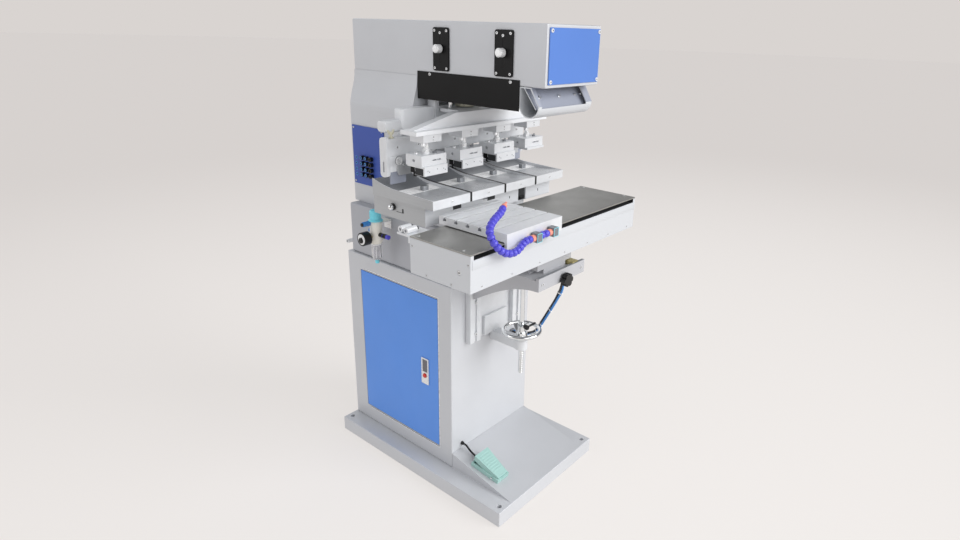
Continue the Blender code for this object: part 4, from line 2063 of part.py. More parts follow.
def air_tube(name, side, finish):
    """An air tube that hangs from the knee to the cabinet."""
    points = smooth_route(tube_route(side), TUBE_RADIUS * 5)
    return finished(tube(points, TUBE_RADIUS), name, finish)


def tube_manifold():
    """The small block on the cabinet's front that both air tubes enter."""
    last = Vector(TUBE_ROUTE[-1])
    face = CABINET_FRONT_Y - GAP
    middle = last.x - TUBE_SPACING / 2
    body = box(
        span(middle, 2 * TUBE_SPACING + TUBE_SOCKET_RADIUS),
        (face - TUBE_SOCKET_LENGTH, face), span(last.z, 2 * TUBE_SOCKET_RADIUS), SINK / 2,
    )
    return finished(body, "tube_manifold", "black_plastic")


def standing_pieces():
    """Make everything that stays with the floor."""
    base_plate()
    cabinet()
    middle_body()
    head_housing()
    front_plate()
    valve_panel()
    for place, front_y in zip(("rear", "front"), SLOT_PLATE_FRONT_EDGES_Y):
        slot_plate(f"slot_plate_{place}", front_y)
        stroke_knob(f"stroke_knob_{place}", front_y)
    side_cover("side_cover_left")
    mirrored(side_cover("side_cover_right"))
    control_trough()
    tray_table()
    for index in range(STATION_COUNT):
        ink_tray(index)
    guide_plate()
    screw_bracket()
    rear_elbow()
    tube_manifold()
    air_tube("air_tube_blue", 0, "blue_tube")
    air_tube("air_tube_black", -1, "black_plastic")


def door_unit():
    """Make the door with its lock."""
    door = side_door()
    carried(door_lock(), door)
    carried(lock_button(), door)


def printing_unit():
    """Make the carriage with the pad beam and the blade unit that ride on it."""
    slide = carriage()
    beam = carried(pad_beam(), slide)
    for index in range(STATION_COUNT):
        carried(pad_holder(index), beam)
    bar = carried(swinging_bar(), slide)
    carried(scraper_bar(), bar)
    carried(wing_screw(), bar)


def knee_unit():
    """Make the knee with the shuttle, the work table and its hose."""
    knee = knee_arm()
    for piece in (lead_screw(), shuttle_housing(), shuttle_top(), stop_plate(), star_knob()):
        carried(piece, knee)
    table = carried(worktable(), knee)
    for piece in (hose_block(), valve_block(), hose_short(), hose_long(), nozzle()):
        carried(piece, table)
    carried(lock_lever(), handwheel())


def regulator_unit():
    """Make the filter regulator."""
    regulator_body()
    regulator_knob()
    pressure_gauge()
    filter_bowl()
    bowl_drain()


def pedal_unit():
    """Make the foot pedal and its cord."""
    carried(pedal_treadle(), pedal_base())
    pedal_cord()
    cord_grommet()


def main():
    """Make the whole machine."""
    clear_scene()
    standing_pieces()
    door_unit()
    printing_unit()
    knee_unit()
    regulator_unit()
    pedal_unit()


main()
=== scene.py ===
"""Pad printing machine: camera, studio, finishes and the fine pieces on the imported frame."""

import json
import logging
import math
from dataclasses import dataclass
from enum import Enum
from typing import Any, Iterable, Sequence

import bmesh
import bpy
from mathutils import Matrix, Vector

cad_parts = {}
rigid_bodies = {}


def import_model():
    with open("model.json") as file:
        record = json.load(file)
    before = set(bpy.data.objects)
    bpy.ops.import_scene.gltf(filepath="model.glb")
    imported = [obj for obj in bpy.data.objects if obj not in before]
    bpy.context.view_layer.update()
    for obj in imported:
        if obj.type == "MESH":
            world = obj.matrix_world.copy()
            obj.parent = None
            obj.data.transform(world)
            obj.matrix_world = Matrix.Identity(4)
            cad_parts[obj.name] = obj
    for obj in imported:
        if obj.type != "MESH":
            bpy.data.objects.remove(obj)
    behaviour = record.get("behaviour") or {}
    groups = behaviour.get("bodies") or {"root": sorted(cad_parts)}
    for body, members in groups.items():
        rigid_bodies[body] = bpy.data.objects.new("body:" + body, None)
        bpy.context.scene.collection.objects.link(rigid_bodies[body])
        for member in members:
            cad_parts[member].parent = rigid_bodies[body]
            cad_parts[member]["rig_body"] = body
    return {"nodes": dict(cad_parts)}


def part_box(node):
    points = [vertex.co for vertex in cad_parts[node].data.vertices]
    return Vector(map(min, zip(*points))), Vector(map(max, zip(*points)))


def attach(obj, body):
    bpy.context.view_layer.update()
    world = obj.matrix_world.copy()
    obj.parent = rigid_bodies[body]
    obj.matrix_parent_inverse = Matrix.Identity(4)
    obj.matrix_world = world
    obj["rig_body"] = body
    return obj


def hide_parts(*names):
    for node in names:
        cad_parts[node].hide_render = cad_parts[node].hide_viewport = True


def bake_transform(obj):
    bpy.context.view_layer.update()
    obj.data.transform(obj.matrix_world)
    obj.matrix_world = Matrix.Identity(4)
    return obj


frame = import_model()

LOG = logging.getLogger("pad_printer")
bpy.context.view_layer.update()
Point = tuple[float, float, float]
MM = 0.001
SHARP_DEG = 38.0
FLAT_DEG = 0.35
MERGE_DISTANCE = 2e-6


class Axis(Enum):
    """A machine axis, by the index of its coordinate."""

    X = 0
    Y = 1
    Z = 2

    def vector(self, sign: float = 1.0) -> Vector:
        """The unit vector along the axis.

        Args:
            sign: Minus one for the opposite direction.

        Returns:
            The vector.
        """
        made = Vector((0.0, 0.0, 0.0))
        made[self.value] = sign
        return made


# ---- colour and nodes


def linear_colour(code: str) -> tuple[float, float, float, float]:
    """Turn an sRGB hex code to a linear colour.

    Args:
        code: Six hex digits, such as "b7babd".

    Returns:
        The linear red, green and blue with an alpha of one.
    """
    parts = [int(code[place:place + 2], 16) / 255.0 for place in (0, 2, 4)]
    values = [part / 12.92 if part <= 0.04045 else ((part + 0.055) / 1.055) ** 2.4 for part in parts]
    return (values[0], values[1], values[2], 1.0)


def add_node(tree: bpy.types.NodeTree, kind: str, settings: dict[str, Any] | None = None,
             inputs: dict[str | int, Any] | None = None) -> bpy.types.Node:
    """Add a node with its settings, input values and links.

    Args:
        tree: The node tree to add to.
        kind: The node's type name without its ShaderNode prefix.
        settings: Attributes to set on the node.
        inputs: Values for its inputs by name or number; an output socket is linked.

    Returns:
        The new node.
    """
    made = tree.nodes.new(f"ShaderNode{kind}")
    for name, value in (settings or {}).items():
        setattr(made, name, value)
    for name, value in (inputs or {}).items():
        socket = made.inputs[name]
        if isinstance(value, bpy.types.NodeSocket):
            tree.links.new(value, socket)
        else:
            socket.default_value = value
    return made


@dataclass(frozen=True)
class Finish:
    """A finish: its name, colour, how it takes light and the record's slot that it belongs to."""

    name: str
    colour: str
    roughness: float
    metallic: float = 0.0
    slot: str = "aluminium"

    def start(self) -> tuple[bpy.types.Material, bpy.types.NodeTree, bpy.types.Node, bpy.types.Node]:
        """Make the material with its shader and object coordinates.

        Returns:
            The material, its tree, the Principled shader and the coordinate node.
        """
        made = bpy.data.materials.new(self.name)
        made.use_nodes = True
        tree = made.node_tree
        shader = tree.nodes["Principled BSDF"]
        shader.inputs["Base Color"].default_value = linear_colour(self.colour)
        shader.inputs["Metallic"].default_value = self.metallic
        shader.inputs["Roughness"].default_value = self.roughness
        made.diffuse_color = linear_colour(self.colour)
        return made, tree, shader, add_node(tree, "TexCoord")

    def dress(self, tree: bpy.types.NodeTree, shader: bpy.types.Node, places: bpy.types.Node) -> None:
        """Add the finish's own pattern to the shader.

        Args:
            tree: The material's tree.
            shader: The Principled shader.
            places: The Texture Coordinate node.
        """

    def material(self) -> bpy.types.Material:
        """The finish's material, made once."""
        found = bpy.data.materials.get(self.name)
        if found is not None:
            return found
        made, tree, shader, places = self.start()
        self.dress(tree, shader, places)
        return made


def blotches(tree: bpy.types.NodeTree, places: bpy.types.Node, size_mm: float, low: float, high: float,
             detail: float = 3.0) -> bpy.types.NodeSocket:
    """A soft noise in object space, mapped to a range.

    Args:
        tree: The node tree.
        places: The Texture Coordinate node.
        size_mm: The size of a blotch in millimetres.
        low: The value at its darkest.
        high: The value at its brightest.
        detail: The noise's octaves.

    Returns:
        The mapped value's socket.
    """
    noise = add_node(tree, "TexNoise", None, {
        "Vector": places.outputs["Object"], "Scale": 1.0 / (size_mm * MM), "Detail": detail,
    })
    mapped = add_node(tree, "MapRange", None, {
        "Value": noise.outputs["Fac"], "From Min": 0.3, "From Max": 0.7, "To Min": low, "To Max": high,
    })
    return mapped.outputs["Result"]


def tinted(tree: bpy.types.NodeTree, colour: str, share: bpy.types.NodeSocket, factor: float) -> bpy.types.NodeSocket:
    """A colour that darkens towards a factor of itself where the share is one.

    Args:
        tree: The node tree.
        colour: The colour as sRGB hex.
        share: The socket that says how far it darkens.
        factor: What the colour is multiplied by at its darkest.

    Returns:
        The mixed colour's socket.
    """
    base = linear_colour(colour)
    dark = tuple(part * factor for part in base[:3]) + (1.0,)
    mixed = add_node(tree, "Mix", {"data_type": "RGBA"}, {0: share, 6: base, 7: dark})
    return mixed.outputs[2]


def relief(tree: bpy.types.NodeTree, shader: bpy.types.Node, height: bpy.types.NodeSocket, depth_mm: float,
           strength: float = 0.5) -> None:
    """Bump the shader by a height.

    Args:
        tree: The node tree.
        shader: The Principled shader.
        height: The height's socket.
        depth_mm: The depth of the relief in millimetres.
        strength: How strongly it shows.
    """
    bump = add_node(tree, "Bump", None, {"Height": height, "Distance": depth_mm * MM, "Strength": strength})
    tree.links.new(bump.outputs["Normal"], shader.inputs["Normal"])


def grain(tree: bpy.types.NodeTree, shader: bpy.types.Node, places: bpy.types.Node, size_mm: float, depth_mm: float,
          detail: float, strength: float = 0.5) -> None:
    """Give the shader a fine grain in relief.

    Args:
        tree: The node tree.
        shader: The Principled shader.
        places: The Texture Coordinate node.
        size_mm: The size of a grain in millimetres.
        depth_mm: The depth of the relief in millimetres.
        detail: The noise's octaves.
        strength: How strongly it shows.
    """
    noise = add_node(tree, "TexNoise", None, {
        "Vector": places.outputs["Object"], "Scale": 1.0 / (size_mm * MM), "Detail": detail,
    })
    relief(tree, shader, noise.outputs["Fac"], depth_mm, strength)


def vary_gloss(tree: bpy.types.NodeTree, shader: bpy.types.Node, places: bpy.types.Node, size_mm: float, low: float,
               high: float) -> None:
    """Let the shader's roughness drift softly between two values.

    Args:
        tree: The node tree.
        shader: The Principled shader.
        places: The Texture Coordinate node.
        size_mm: The size of a blotch in millimetres.
        low: The lowest roughness.
        high: The highest roughness.
    """
    tree.links.new(blotches(tree, places, size_mm, low, high), shader.inputs["Roughness"])


@dataclass(frozen=True)
class SprayedPaint(Finish):
    """Sprayed enamel or powder coat on sheet: a fine orange peel and slight blotches of gloss."""

    peel_mm: float = 1.1
    peel_depth_mm: float = 0.006
    fleck: float = 0.96
    specular: float = 0.5

    def dress(self, tree: bpy.types.NodeTree, shader: bpy.types.Node, places: bpy.types.Node) -> None:
        """Add the orange peel and the blotches.

        Args:
            tree: The material's tree.
            shader: The Principled shader.
            places: The Texture Coordinate node.
        """
        shader.inputs["Specular IOR Level"].default_value = self.specular
        vary_gloss(tree, shader, places, 90.0, self.roughness - 0.05, self.roughness + 0.06)
        cloud = blotches(tree, places, 150.0, 0.0, 1.0)
        tree.links.new(tinted(tree, self.colour, cloud, self.fleck), shader.inputs["Base Color"])
        grain(tree, shader, places, self.peel_mm, self.peel_depth_mm, 2.0, 0.6)


@dataclass(frozen=True)
class BrushedMetal(Finish):
    """Metal ground or brushed one way: long fine streaks that spread the highlight across them."""

    along: Axis = Axis.X
    streak_mm: float = 0.5
    length_mm: float = 60.0
    contrast: float = 0.88

    def dress(self, tree: bpy.types.NodeTree, shader: bpy.types.Node, places: bpy.types.Node) -> None:
        """Add the streaks to the colour, gloss and relief.

        Args:
            tree: The material's tree.
            shader: The Principled shader.
            places: The Texture Coordinate node.
        """
        scale = Vector((1.0, 1.0, 1.0)) / (self.streak_mm * MM)
        scale[self.along.value] = 1.0 / (self.length_mm * MM)
        mapped = add_node(tree, "Mapping", None, {"Vector": places.outputs["Object"], "Scale": scale})
        streaks = add_node(tree, "TexNoise", None, {
            "Vector": mapped.outputs["Vector"], "Scale": 1.0, "Detail": 3.0, "Roughness": 0.6,
        })
        cloud = blotches(tree, places, 70.0, -0.15, 0.15)
        summed = add_node(tree, "Math", {"operation": "ADD", "use_clamp": True}, {
            0: streaks.outputs["Fac"], 1: cloud,
        })
        tree.links.new(tinted(tree, self.colour, summed.outputs[0], self.contrast), shader.inputs["Base Color"])
        gloss = add_node(tree, "MapRange", None, {
            "Value": summed.outputs[0], "From Min": 0.3, "From Max": 0.7,
            "To Min": self.roughness - 0.07, "To Max": self.roughness + 0.07,
        })
        tree.links.new(gloss.outputs["Result"], shader.inputs["Roughness"])
        relief(tree, shader, streaks.outputs["Fac"], 0.003)


@dataclass(frozen=True)
class CutMetal(Finish):
    """Milled or turned metal, anodised or bare: a faint grain and soft clouds in its gloss."""

    grain_mm: float = 0.7

    def dress(self, tree: bpy.types.NodeTree, shader: bpy.types.Node, places: bpy.types.Node) -> None:
        """Add the grain and the clouds.

        Args:
            tree: The material's tree.
            shader: The Principled shader.
            places: The Texture Coordinate node.
        """
        cloud = blotches(tree, places, 35.0, 0.0, 1.0)
        tree.links.new(tinted(tree, self.colour, cloud, 0.93), shader.inputs["Base Color"])
        vary_gloss(tree, shader, places, 18.0, self.roughness - 0.06, self.roughness + 0.06)
        grain(tree, shader, places, self.grain_mm, 0.004, 2.0)


@dataclass(frozen=True)
class MouldedPlastic(Finish):
    """Injection moulded plastic: an even colour with a fine spark-eroded grain."""

    grain_mm: float = 0.6
    grain_depth_mm: float = 0.008

    def dress(self, tree: bpy.types.NodeTree, shader: bpy.types.Node, places: bpy.types.Node) -> None:
        """Add the grain and a slight change of gloss.

        Args:
            tree: The material's tree.
            shader: The Principled shader.
            places: The Texture Coordinate node.
        """
        vary_gloss(tree, shader, places, 12.0, self.roughness - 0.05, self.roughness + 0.05)
        cloud = blotches(tree, places, 25.0, 0.0, 1.0)
        tree.links.new(tinted(tree, self.colour, cloud, 0.9), shader.inputs["Base Color"])
        grain(tree, shader, places, self.grain_mm, self.grain_depth_mm, 1.0)


@dataclass(frozen=True)
class ClearPlastic(Finish):
    """Clear polycarbonate: seen through, with a slight haze."""

    def dress(self, tree: bpy.types.NodeTree, shader: bpy.types.Node, places: bpy.types.Node) -> None:
        """Let the light through and add the haze.

        Args:
            tree: The material's tree.
            shader: The Principled shader.
            places: The Texture Coordinate node.
        """
        shader.inputs["Transmission Weight"].default_value = 0.85
        shader.inputs["IOR"].default_value = 1.58
        vary_gloss(tree, shader, places, 14.0, self.roughness - 0.04, self.roughness + 0.06)


class Finishes:
    """Every finish of the machine, named for what it is."""

    # Silver enamel on folded steel sheet: pale, satin, with a little metal in it.
    silver = SprayedPaint("silver_enamel_sheet", "c6c8cc", 0.40, 0.12, slot="silver_paint")
    # The same enamel on the cast and milled parts inside the throat, a touch brighter as painted light.
    silver_inner = SprayedPaint("silver_enamel_casting", "d6d8db", 0.42, 0.1, slot="silver_paint")
    # Near-white enamel of the pad beam and the arm behind it, brightened as painted light against the shade that the
    # head casts on them.
    beam_white = SprayedPaint("white_enamel_beam", "e0e2e5", 0.42, 0.0, slot="silver_paint")
    # The middle body's enamel, greyer than the sheets round it.
    middle_enamel = SprayedPaint("silver_enamel_middle", "aeb0b6", 0.42, 0.1, slot="silver_paint")
    # The knee's enamel is a shade darker than the sheets round it.
    knee_enamel = SprayedPaint("silver_enamel_knee", "b2b3b7", 0.42, 0.1, slot="silver_paint")
    # Blue powder coat of the door, even and satin.
    door_blue = SprayedPaint("blue_powder_coat_door", "5790e4", 0.42, slot="blue_paint")
    front_blue = SprayedPaint("blue_powder_coat_front", "4f78c2", 0.44, slot="blue_paint")
    panel_blue = SprayedPaint("deep_blue_enamel_panel", "3450a4", 0.42, slot="dark_blue_paint")
    # Black anodised and satin plates.
    black_plate = SprayedPaint("black_anodised_plate", "040405", 0.34, 0.0, slot="black_paint", specular=0.22)
    black_plastic = MouldedPlastic("black_nylon", "08080a", 0.36, slot="black_plastic")
    # Milled aluminium, clear anodised: pale, soft, faint grain.
    aluminium = CutMetal("anodised_aluminium_milled", "dcdee1", 0.36, 0.2)
    aluminium_bright = CutMetal("aluminium_turned", "f0f1f2", 0.28, 0.3)
    # Ground stainless sheet, its grain along the table's travel.
    ground_steel = BrushedMetal("ground_steel_sheet", "a9a8a4", 0.36, 0.85, slot="brushed_steel", contrast=0.92)
    bright_sheet = BrushedMetal("brushed_steel_sheet", "cdd0d4", 0.40, 0.2, slot="aluminium", contrast=0.965)
    # Tray floors ground lengthwise; the streaks are drawn coarse enough to show at arm's length.
    plate_steel = BrushedMetal("ground_tray_floor", "cbcdd0", 0.34, 0.35, along=Axis.Y, streak_mm=3.0, contrast=0.80)
    # The polished printing plate, the palest metal on the machine; its near-white colour is a painted reflection of
    # bright light on the polished steel.
    polished_plate = BrushedMetal("polished_steel_plate", "fcfcfc", 0.30, 0.0, along=Axis.Y, streak_mm=3.0,
                                   contrast=0.98)
    # The tray's rear slope, darkened as painted shade and a painted reflection of the head's dark underside.
    stained_steel = BrushedMetal("stained_tray_slope", "96999e", 0.36, 0.5, along=Axis.Y, streak_mm=3.0, contrast=0.82)
    # The table's end faces, milled lengthwise and left bare.
    side_steel = BrushedMetal("milled_table_end", "b6b8ba", 0.40, 0.25, along=Axis.Y, streak_mm=5.0,
                              length_mm=180.0, contrast=0.88)
    # Cold rolled steel left bare: posts and the knee's top.
    bare_steel = CutMetal("cold_rolled_steel", "8b8e92", 0.40, 0.4)
    chrome = CutMetal("hard_chrome", "eceeef", 0.10, 1.0, slot="chrome")
    zinc = CutMetal("zinc_plated_screw", "e8e9ea", 0.28, 0.5, slot="chrome")
    brass = CutMetal("dull_brass", "b5a976", 0.36, 0.6)
    # Nickel-washed brass, nearly white with a green tinge.
    pale_brass = CutMetal("nickelled_brass", "d2cfba", 0.32, 0.4)
    # Dark nickel of the door lock's recessed plate.
    dark_nickel = CutMetal("dark_nickel_plate", "77777c", 0.35, 0.8)
    red = MouldedPlastic("red_button_plastic", "cf2a22", 0.3, slot="red_plastic")
    cyan = MouldedPlastic("cyan_acetal_knob", "7fe0f0", 0.38, slot="cyan_plastic")
    cream = MouldedPlastic("cream_nylon_body", "fbf8ee", 0.38, slot="cream_plastic")
    clear = ClearPlastic("clear_polycarbonate", "f8f8fb", 0.16, slot="clear_plastic")
    mint = SprayedPaint("mint_enamel_casting", "a0c6c0", 0.45, slot="mint_paint")
    violet = MouldedPlastic("violet_acetal_bead", "5550cc", 0.28, slot="violet_plastic")
    coral = MouldedPlastic("coral_acetal_fitting", "f09a86", 0.34, slot="orange_plastic")
    blue_tube = MouldedPlastic("blue_polyurethane_tube", "4389d2", 0.26, slot="blue_tube")
    black_tube = MouldedPlastic("black_polyurethane_tube", "17181c", 0.26, slot="black_plastic")
    grey = MouldedPlastic("grey_plastic_moulding", "767a80", 0.42, slot="grey_plastic")
    grey_panel = SprayedPaint("slate_overlay_panel", "959aa8", 0.4, slot="grey_plastic")
    white = MouldedPlastic("white_plastic_fitting", "f4f5f6", 0.38, slot="white_plastic")
    # Painted shade: the dark laid in screw sockets, port bores, slots, gaps and on shaded faces.
    dark_gap = MouldedPlastic("dark_recess", "2b2c2e", 0.7, slot="black_plastic")


# ---- mesh helpers


@dataclass(frozen=True)
class Region:
    """A part of a node, inside a box, that has a finish of its own."""

    low: Point
    high: Point
    finish: Finish
    facing: Point | None = None

    def holds(self, point: Vector, normal: Vector) -> bool:
        """Whether a face's centre lies in the box and, where one is set, it faces that way.

        Args:
            point: The face's centre.
            normal: The face's normal.

        Returns:
            Whether the face is the region's.
        """
        inside = all(self.low[place] <= point[place] <= self.high[place] for place in range(3))
        return inside and (self.facing is None or normal.dot(Vector(self.facing)) > 0.9)


@dataclass(frozen=True)
class Sink:
    """A round counterbore that a screw's head sits in."""

    centre: Point
    normal: Vector
    radius: float
    depth: float


@dataclass(frozen=True)
class Skin:
    """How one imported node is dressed: its finish, edge radius, the regions that differ and its counterbores."""

    node: str
    finish: Finish
    edge_mm: float = 0.6
    regions: tuple[Region, ...] = ()
    smooth_deg: float = 40.0
    sinks: tuple[Sink, ...] = ()
    heights: tuple[tuple[float, float], ...] = ()

    def height(self, z: float) -> float:
        """The height that a packed height is moved to, by the pairs in heights.

        Args:
            z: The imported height.

        Returns:
            The new height, or the same one outside the pairs.
        """
        for (low, to_low), (high, to_high) in zip(self.heights, self.heights[1:]):
            if low <= z <= high:
                return to_low + (to_high - to_low) * (z - low) / (high - low)
        return z


def linked(name: str, data: bpy.types.ID) -> bpy.types.Object:
    """Make an object and link it to the scene.

    Args:
        name: The object's name.
        data: Its mesh, lamp or camera.

    Returns:
        The object.
    """
    made = bpy.data.objects.new(name, data)
    bpy.context.scene.collection.objects.link(made)
    return made


def mesh_of(name: str, bm: bmesh.types.BMesh) -> bpy.types.Mesh:
    """Turn a bmesh to a mesh and free it.

    Args:
        name: The mesh's name.
        bm: The bmesh.

    Returns:
        The mesh.
    """
    mesh = bpy.data.meshes.new(name)
    bm.to_mesh(mesh)
    bm.free()
    return mesh


def mesh_piece(name: str, bm: bmesh.types.BMesh, finishes: Sequence[Finish]) -> bpy.types.Object:
    """Turn a bmesh to an object with no parent.

    Args:
        name: The piece's name.
        bm: Its mesh, freed here.
        finishes: Its finishes, in the order of its faces' material numbers.

    Returns:
        The object.
    """
    mesh = mesh_of(name, bm)
    made = linked(name, mesh)
    for finish in finishes:
        mesh.materials.append(finish.material())
    mesh.shade_smooth()
    mesh.set_sharp_from_angle(angle=math.radians(SHARP_DEG))
    return made


def new_object(name: str, bm: bmesh.types.BMesh, finishes: Sequence[Finish], body: str) -> bpy.types.Object:
    """Turn a bmesh to an object that rides on a body.

    Args:
        name: The piece's name.
        bm: Its mesh, freed here.
        finishes: Its finishes, in the order of its faces' material numbers.
        body: The body that carries it.

    Returns:
        The object.
    """
    made = mesh_piece(name, bm, finishes)
    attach(made, body)
    return made


def paint(verts: Iterable[bmesh.types.BMVert], number: int) -> None:
    """Give the faces that touch some vertices a material number.

    Args:
        verts: The vertices.
        number: The material number.
    """
    for face in {f for v in verts for f in v.link_faces}:
        face.material_index = number


def body_of(node: str) -> str:
    """The name of the body that a node rides on.

    Args:
        node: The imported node.

    Returns:
        The body's name.
    """
    return str(frame["nodes"][node]["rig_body"])


def dressed(skin: Skin) -> bpy.types.Object:
    """Stand a fine-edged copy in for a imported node, with its finishes.

    Args:
        skin: How the node is dressed.

    Returns:
        The copy.
    """
    source = frame["nodes"][skin.node]
    bm = bmesh.new()
    bm.from_mesh(source.data)
    bmesh.ops.remove_doubles(bm, verts=bm.verts, dist=MERGE_DISTANCE)
    for vert in bm.verts:
        vert.co.z = skin.height(vert.co.z)
    bmesh.ops.dissolve_limit(
        bm, angle_limit=math.radians(FLAT_DEG), verts=bm.verts, edges=bm.edges, use_dissolve_boundaries=False,
    )
    bmesh.ops.recalc_face_normals(bm, faces=bm.faces)
    for face in bm.faces:
        centre = face.calc_center_median()
        face.material_index = next(
            (number + 1 for number, region in enumerate(skin.regions) if region.holds(centre, face.normal)), 0,
        )
    finishes = [skin.finish, *(region.finish for region in skin.regions)]
    made = new_object(f"{skin.node}_dressed", bm, finishes, body_of(skin.node))
    if skin.sinks:
        counterbore(made, skin.sinks)
    made.data.shade_smooth()
    rounding = made.modifiers.new("edges", "BEVEL")
    rounding.width = skin.edge_mm * MM
    rounding.segments = 2
    rounding.limit_method = "ANGLE"
    rounding.angle_limit = math.radians(skin.smooth_deg)
    rounding.use_clamp_overlap = True
    made.modifiers.new("flat_faces", "WEIGHTED_NORMAL")
    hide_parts(skin.node)
    return made


def counterbore(made: bpy.types.Object, sinks: Iterable[Sink]) -> None:
    """Cut round counterbores in a piece.

    Args:
        made: The piece.
        sinks: The counterbores.
    """
    bm = bmesh.new()
    for sink in sinks:
        add_disc(bm, sink.centre, sink.normal, [(sink.radius, -sink.depth), (sink.radius, sink.depth)], 24)
    bmesh.ops.recalc_face_normals(bm, faces=bm.faces)
    cutter = linked("cutter", mesh_of("cutter", bm))
    hole = made.modifiers.new("hole", "BOOLEAN")
    hole.object = cutter
    hole.solver = "EXACT"
    found = bpy.data.meshes.new_from_object(made.evaluated_get(bpy.context.evaluated_depsgraph_get()))
    made.modifiers.clear()
    made.data = found
    bpy.data.objects.remove(cutter, do_unlink=True)


def turned_to(normal: Vector) -> Matrix:
    """The rotation that turns +Z to a direction.

    Args:
        normal: The direction.

    Returns:
        The rotation.
    """
    return Vector((0.0, 0.0, 1.0)).rotation_difference(normal).to_matrix().to_4x4()


def add_disc(bm: bmesh.types.BMesh, centre: Point, normal: Vector, rings: Sequence[tuple[float, float]],
             sides: int = 24, number: int = 0) -> None:
    """Add a closed turned shape by lofting rings along a direction.

    Args:
        bm: The mesh to add to.
        centre: The point on the axis where the heights start.
        normal: The axis.
        rings: The (radius, height) of each ring, from the base up.
        sides: The number of sides.
        number: The material number of its faces.
    """
    first = bmesh.ops.create_circle(bm, cap_ends=True, radius=rings[0][0], segments=sides)
    verts = list(first["verts"])
    bmesh.ops.translate(bm, verts=verts, vec=(0.0, 0.0, rings[0][1]))
    edges = list(next(iter({f for v in verts for f in v.link_faces})).edges)
    made = set(verts)
    for (before, low), (radius, high) in zip(rings, rings[1:]):
        grown = bmesh.ops.extrude_edge_only(bm, edges=edges)
        ring = [item for item in grown["geom"] if isinstance(item, bmesh.types.BMVert)]
        edges = [
            item for item in grown["geom"]
            if isinstance(item, bmesh.types.BMEdge) and all(v in ring for v in item.verts)
        ]
        scale = radius / before if before else 1.0
        bmesh.ops.translate(bm, verts=ring, vec=(0.0, 0.0, high - low))
        bmesh.ops.scale(bm, verts=ring, vec=(scale, scale, 1.0))
        made.update(ring)
    bmesh.ops.contextual_create(bm, geom=edges)
    place = Matrix.Translation(Vector(centre)) @ turned_to(normal)
    bmesh.ops.transform(bm, matrix=place, verts=list(made))
    paint(made, number)


def add_block(bm: bmesh.types.BMesh, low: Point, high: Point, edge_mm: float = 0.4, number: int = 0) -> None:
    """Add a block with rounded edges.

    Args:
        bm: The mesh to add to.
        low: Its lowest corner.
        high: Its highest corner.
        edge_mm: The radius of its edges in millimetres.
        number: The material number of its faces.
    """
    made = bmesh.ops.create_cube(bm, size=1.0)["verts"]
    size = Vector(high) - Vector(low)
    bmesh.ops.scale(bm, verts=made, vec=size)
    bmesh.ops.translate(bm, verts=made, vec=(Vector(low) + Vector(high)) / 2)
    faces = {f for v in made for f in v.link_faces}
    if edge_mm > 0.0:
        edges = list({e for v in made for e in v.link_edges})
        faces |= set(bmesh.ops.bevel(
            bm, geom=edges, offset=edge_mm * MM, segments=2, profile=0.5, affect="EDGES", material=-1,
        )["faces"])
    for face in {f for g in faces if g.is_valid for v in g.verts for f in v.link_faces}:
        face.material_index = number


def add_loft(bm: bmesh.types.BMesh, rings: Sequence[Sequence[Vector]], number: int = 0) -> None:
    """Add a closed shape by extruding a ring of points through others of equal count.

    Args:
        bm: The mesh to add to.
        rings: The rings, each a list of points in the same order.
        number: The material number of its faces.
    """
    verts = [bm.verts.new(point) for point in rings[0]]
    bm.faces.new(verts)
    made = set(verts)
    for ring in rings[1:]:
        edges = [bm.edges.get((verts[place - 1], vert)) for place, vert in enumerate(verts)]
        grown = bmesh.ops.extrude_edge_only(bm, edges=edges)["geom"]
        fresh = {item for item in grown if isinstance(item, bmesh.types.BMVert)}
        verts = [
            next(edge.other_vert(vert) for edge in vert.link_edges if edge.other_vert(vert) in fresh)
            for vert in verts
        ]
        for vert, point in zip(verts, ring):
            vert.co = point
        made.update(verts)
    bm.faces.new(verts)
    paint(made, number)


@dataclass(frozen=True)
class ScrewHead:
    """A screw's head with its hexagon socket, drawn as painted shade."""

    radius: float
    height: float

    def place(self, bm: bmesh.types.BMesh, centre: Point, normal: Vector, number: int = 0, dark: int = 1) -> None:
        """Add the head at a point.

        Args:
            bm: The mesh to add to.
            centre: The point on the seat.
            normal: The direction that the head faces.
            number: The material number of the head.
            dark: The material number of the socket's painted shade.
        """
        r, h = self.radius, self.height
        add_disc(bm, centre, normal, [(r, -0.0002), (r, h * 0.7), (r * 0.86, h)], 20, number)
        top = Vector(centre) + normal * (h + 0.00002)
        # The socket is a flat dark hexagon on the top: painted shade where no hole is cut.
        add_disc(bm, tuple(top), normal, [(r * 0.46, 0.0), (r * 0.46, 0.00006)], 6, dark)


def screws(name: str, body: str, head: ScrewHead, places: Iterable[tuple[Point, Vector]],
           finish: Finish = Finishes.zinc) -> bpy.types.Object:
    """Make a group of like screws as one piece.

    Args:
        name: The piece's name.
        body: The body that carries it.
        head: The screw's head.
        places: Each screw's seat and direction.
        finish: The heads' finish.

    Returns:
        The piece.
    """
    bm = bmesh.new()
    for centre, normal in places:
        head.place(bm, centre, normal)
    return new_object(name, bm, (finish, Finishes.dark_gap), body)


LEFT, FRONT, UP = Axis.X.vector(-1.0), Axis.Y.vector(-1.0), Axis.Z.vector()


# ---- studio


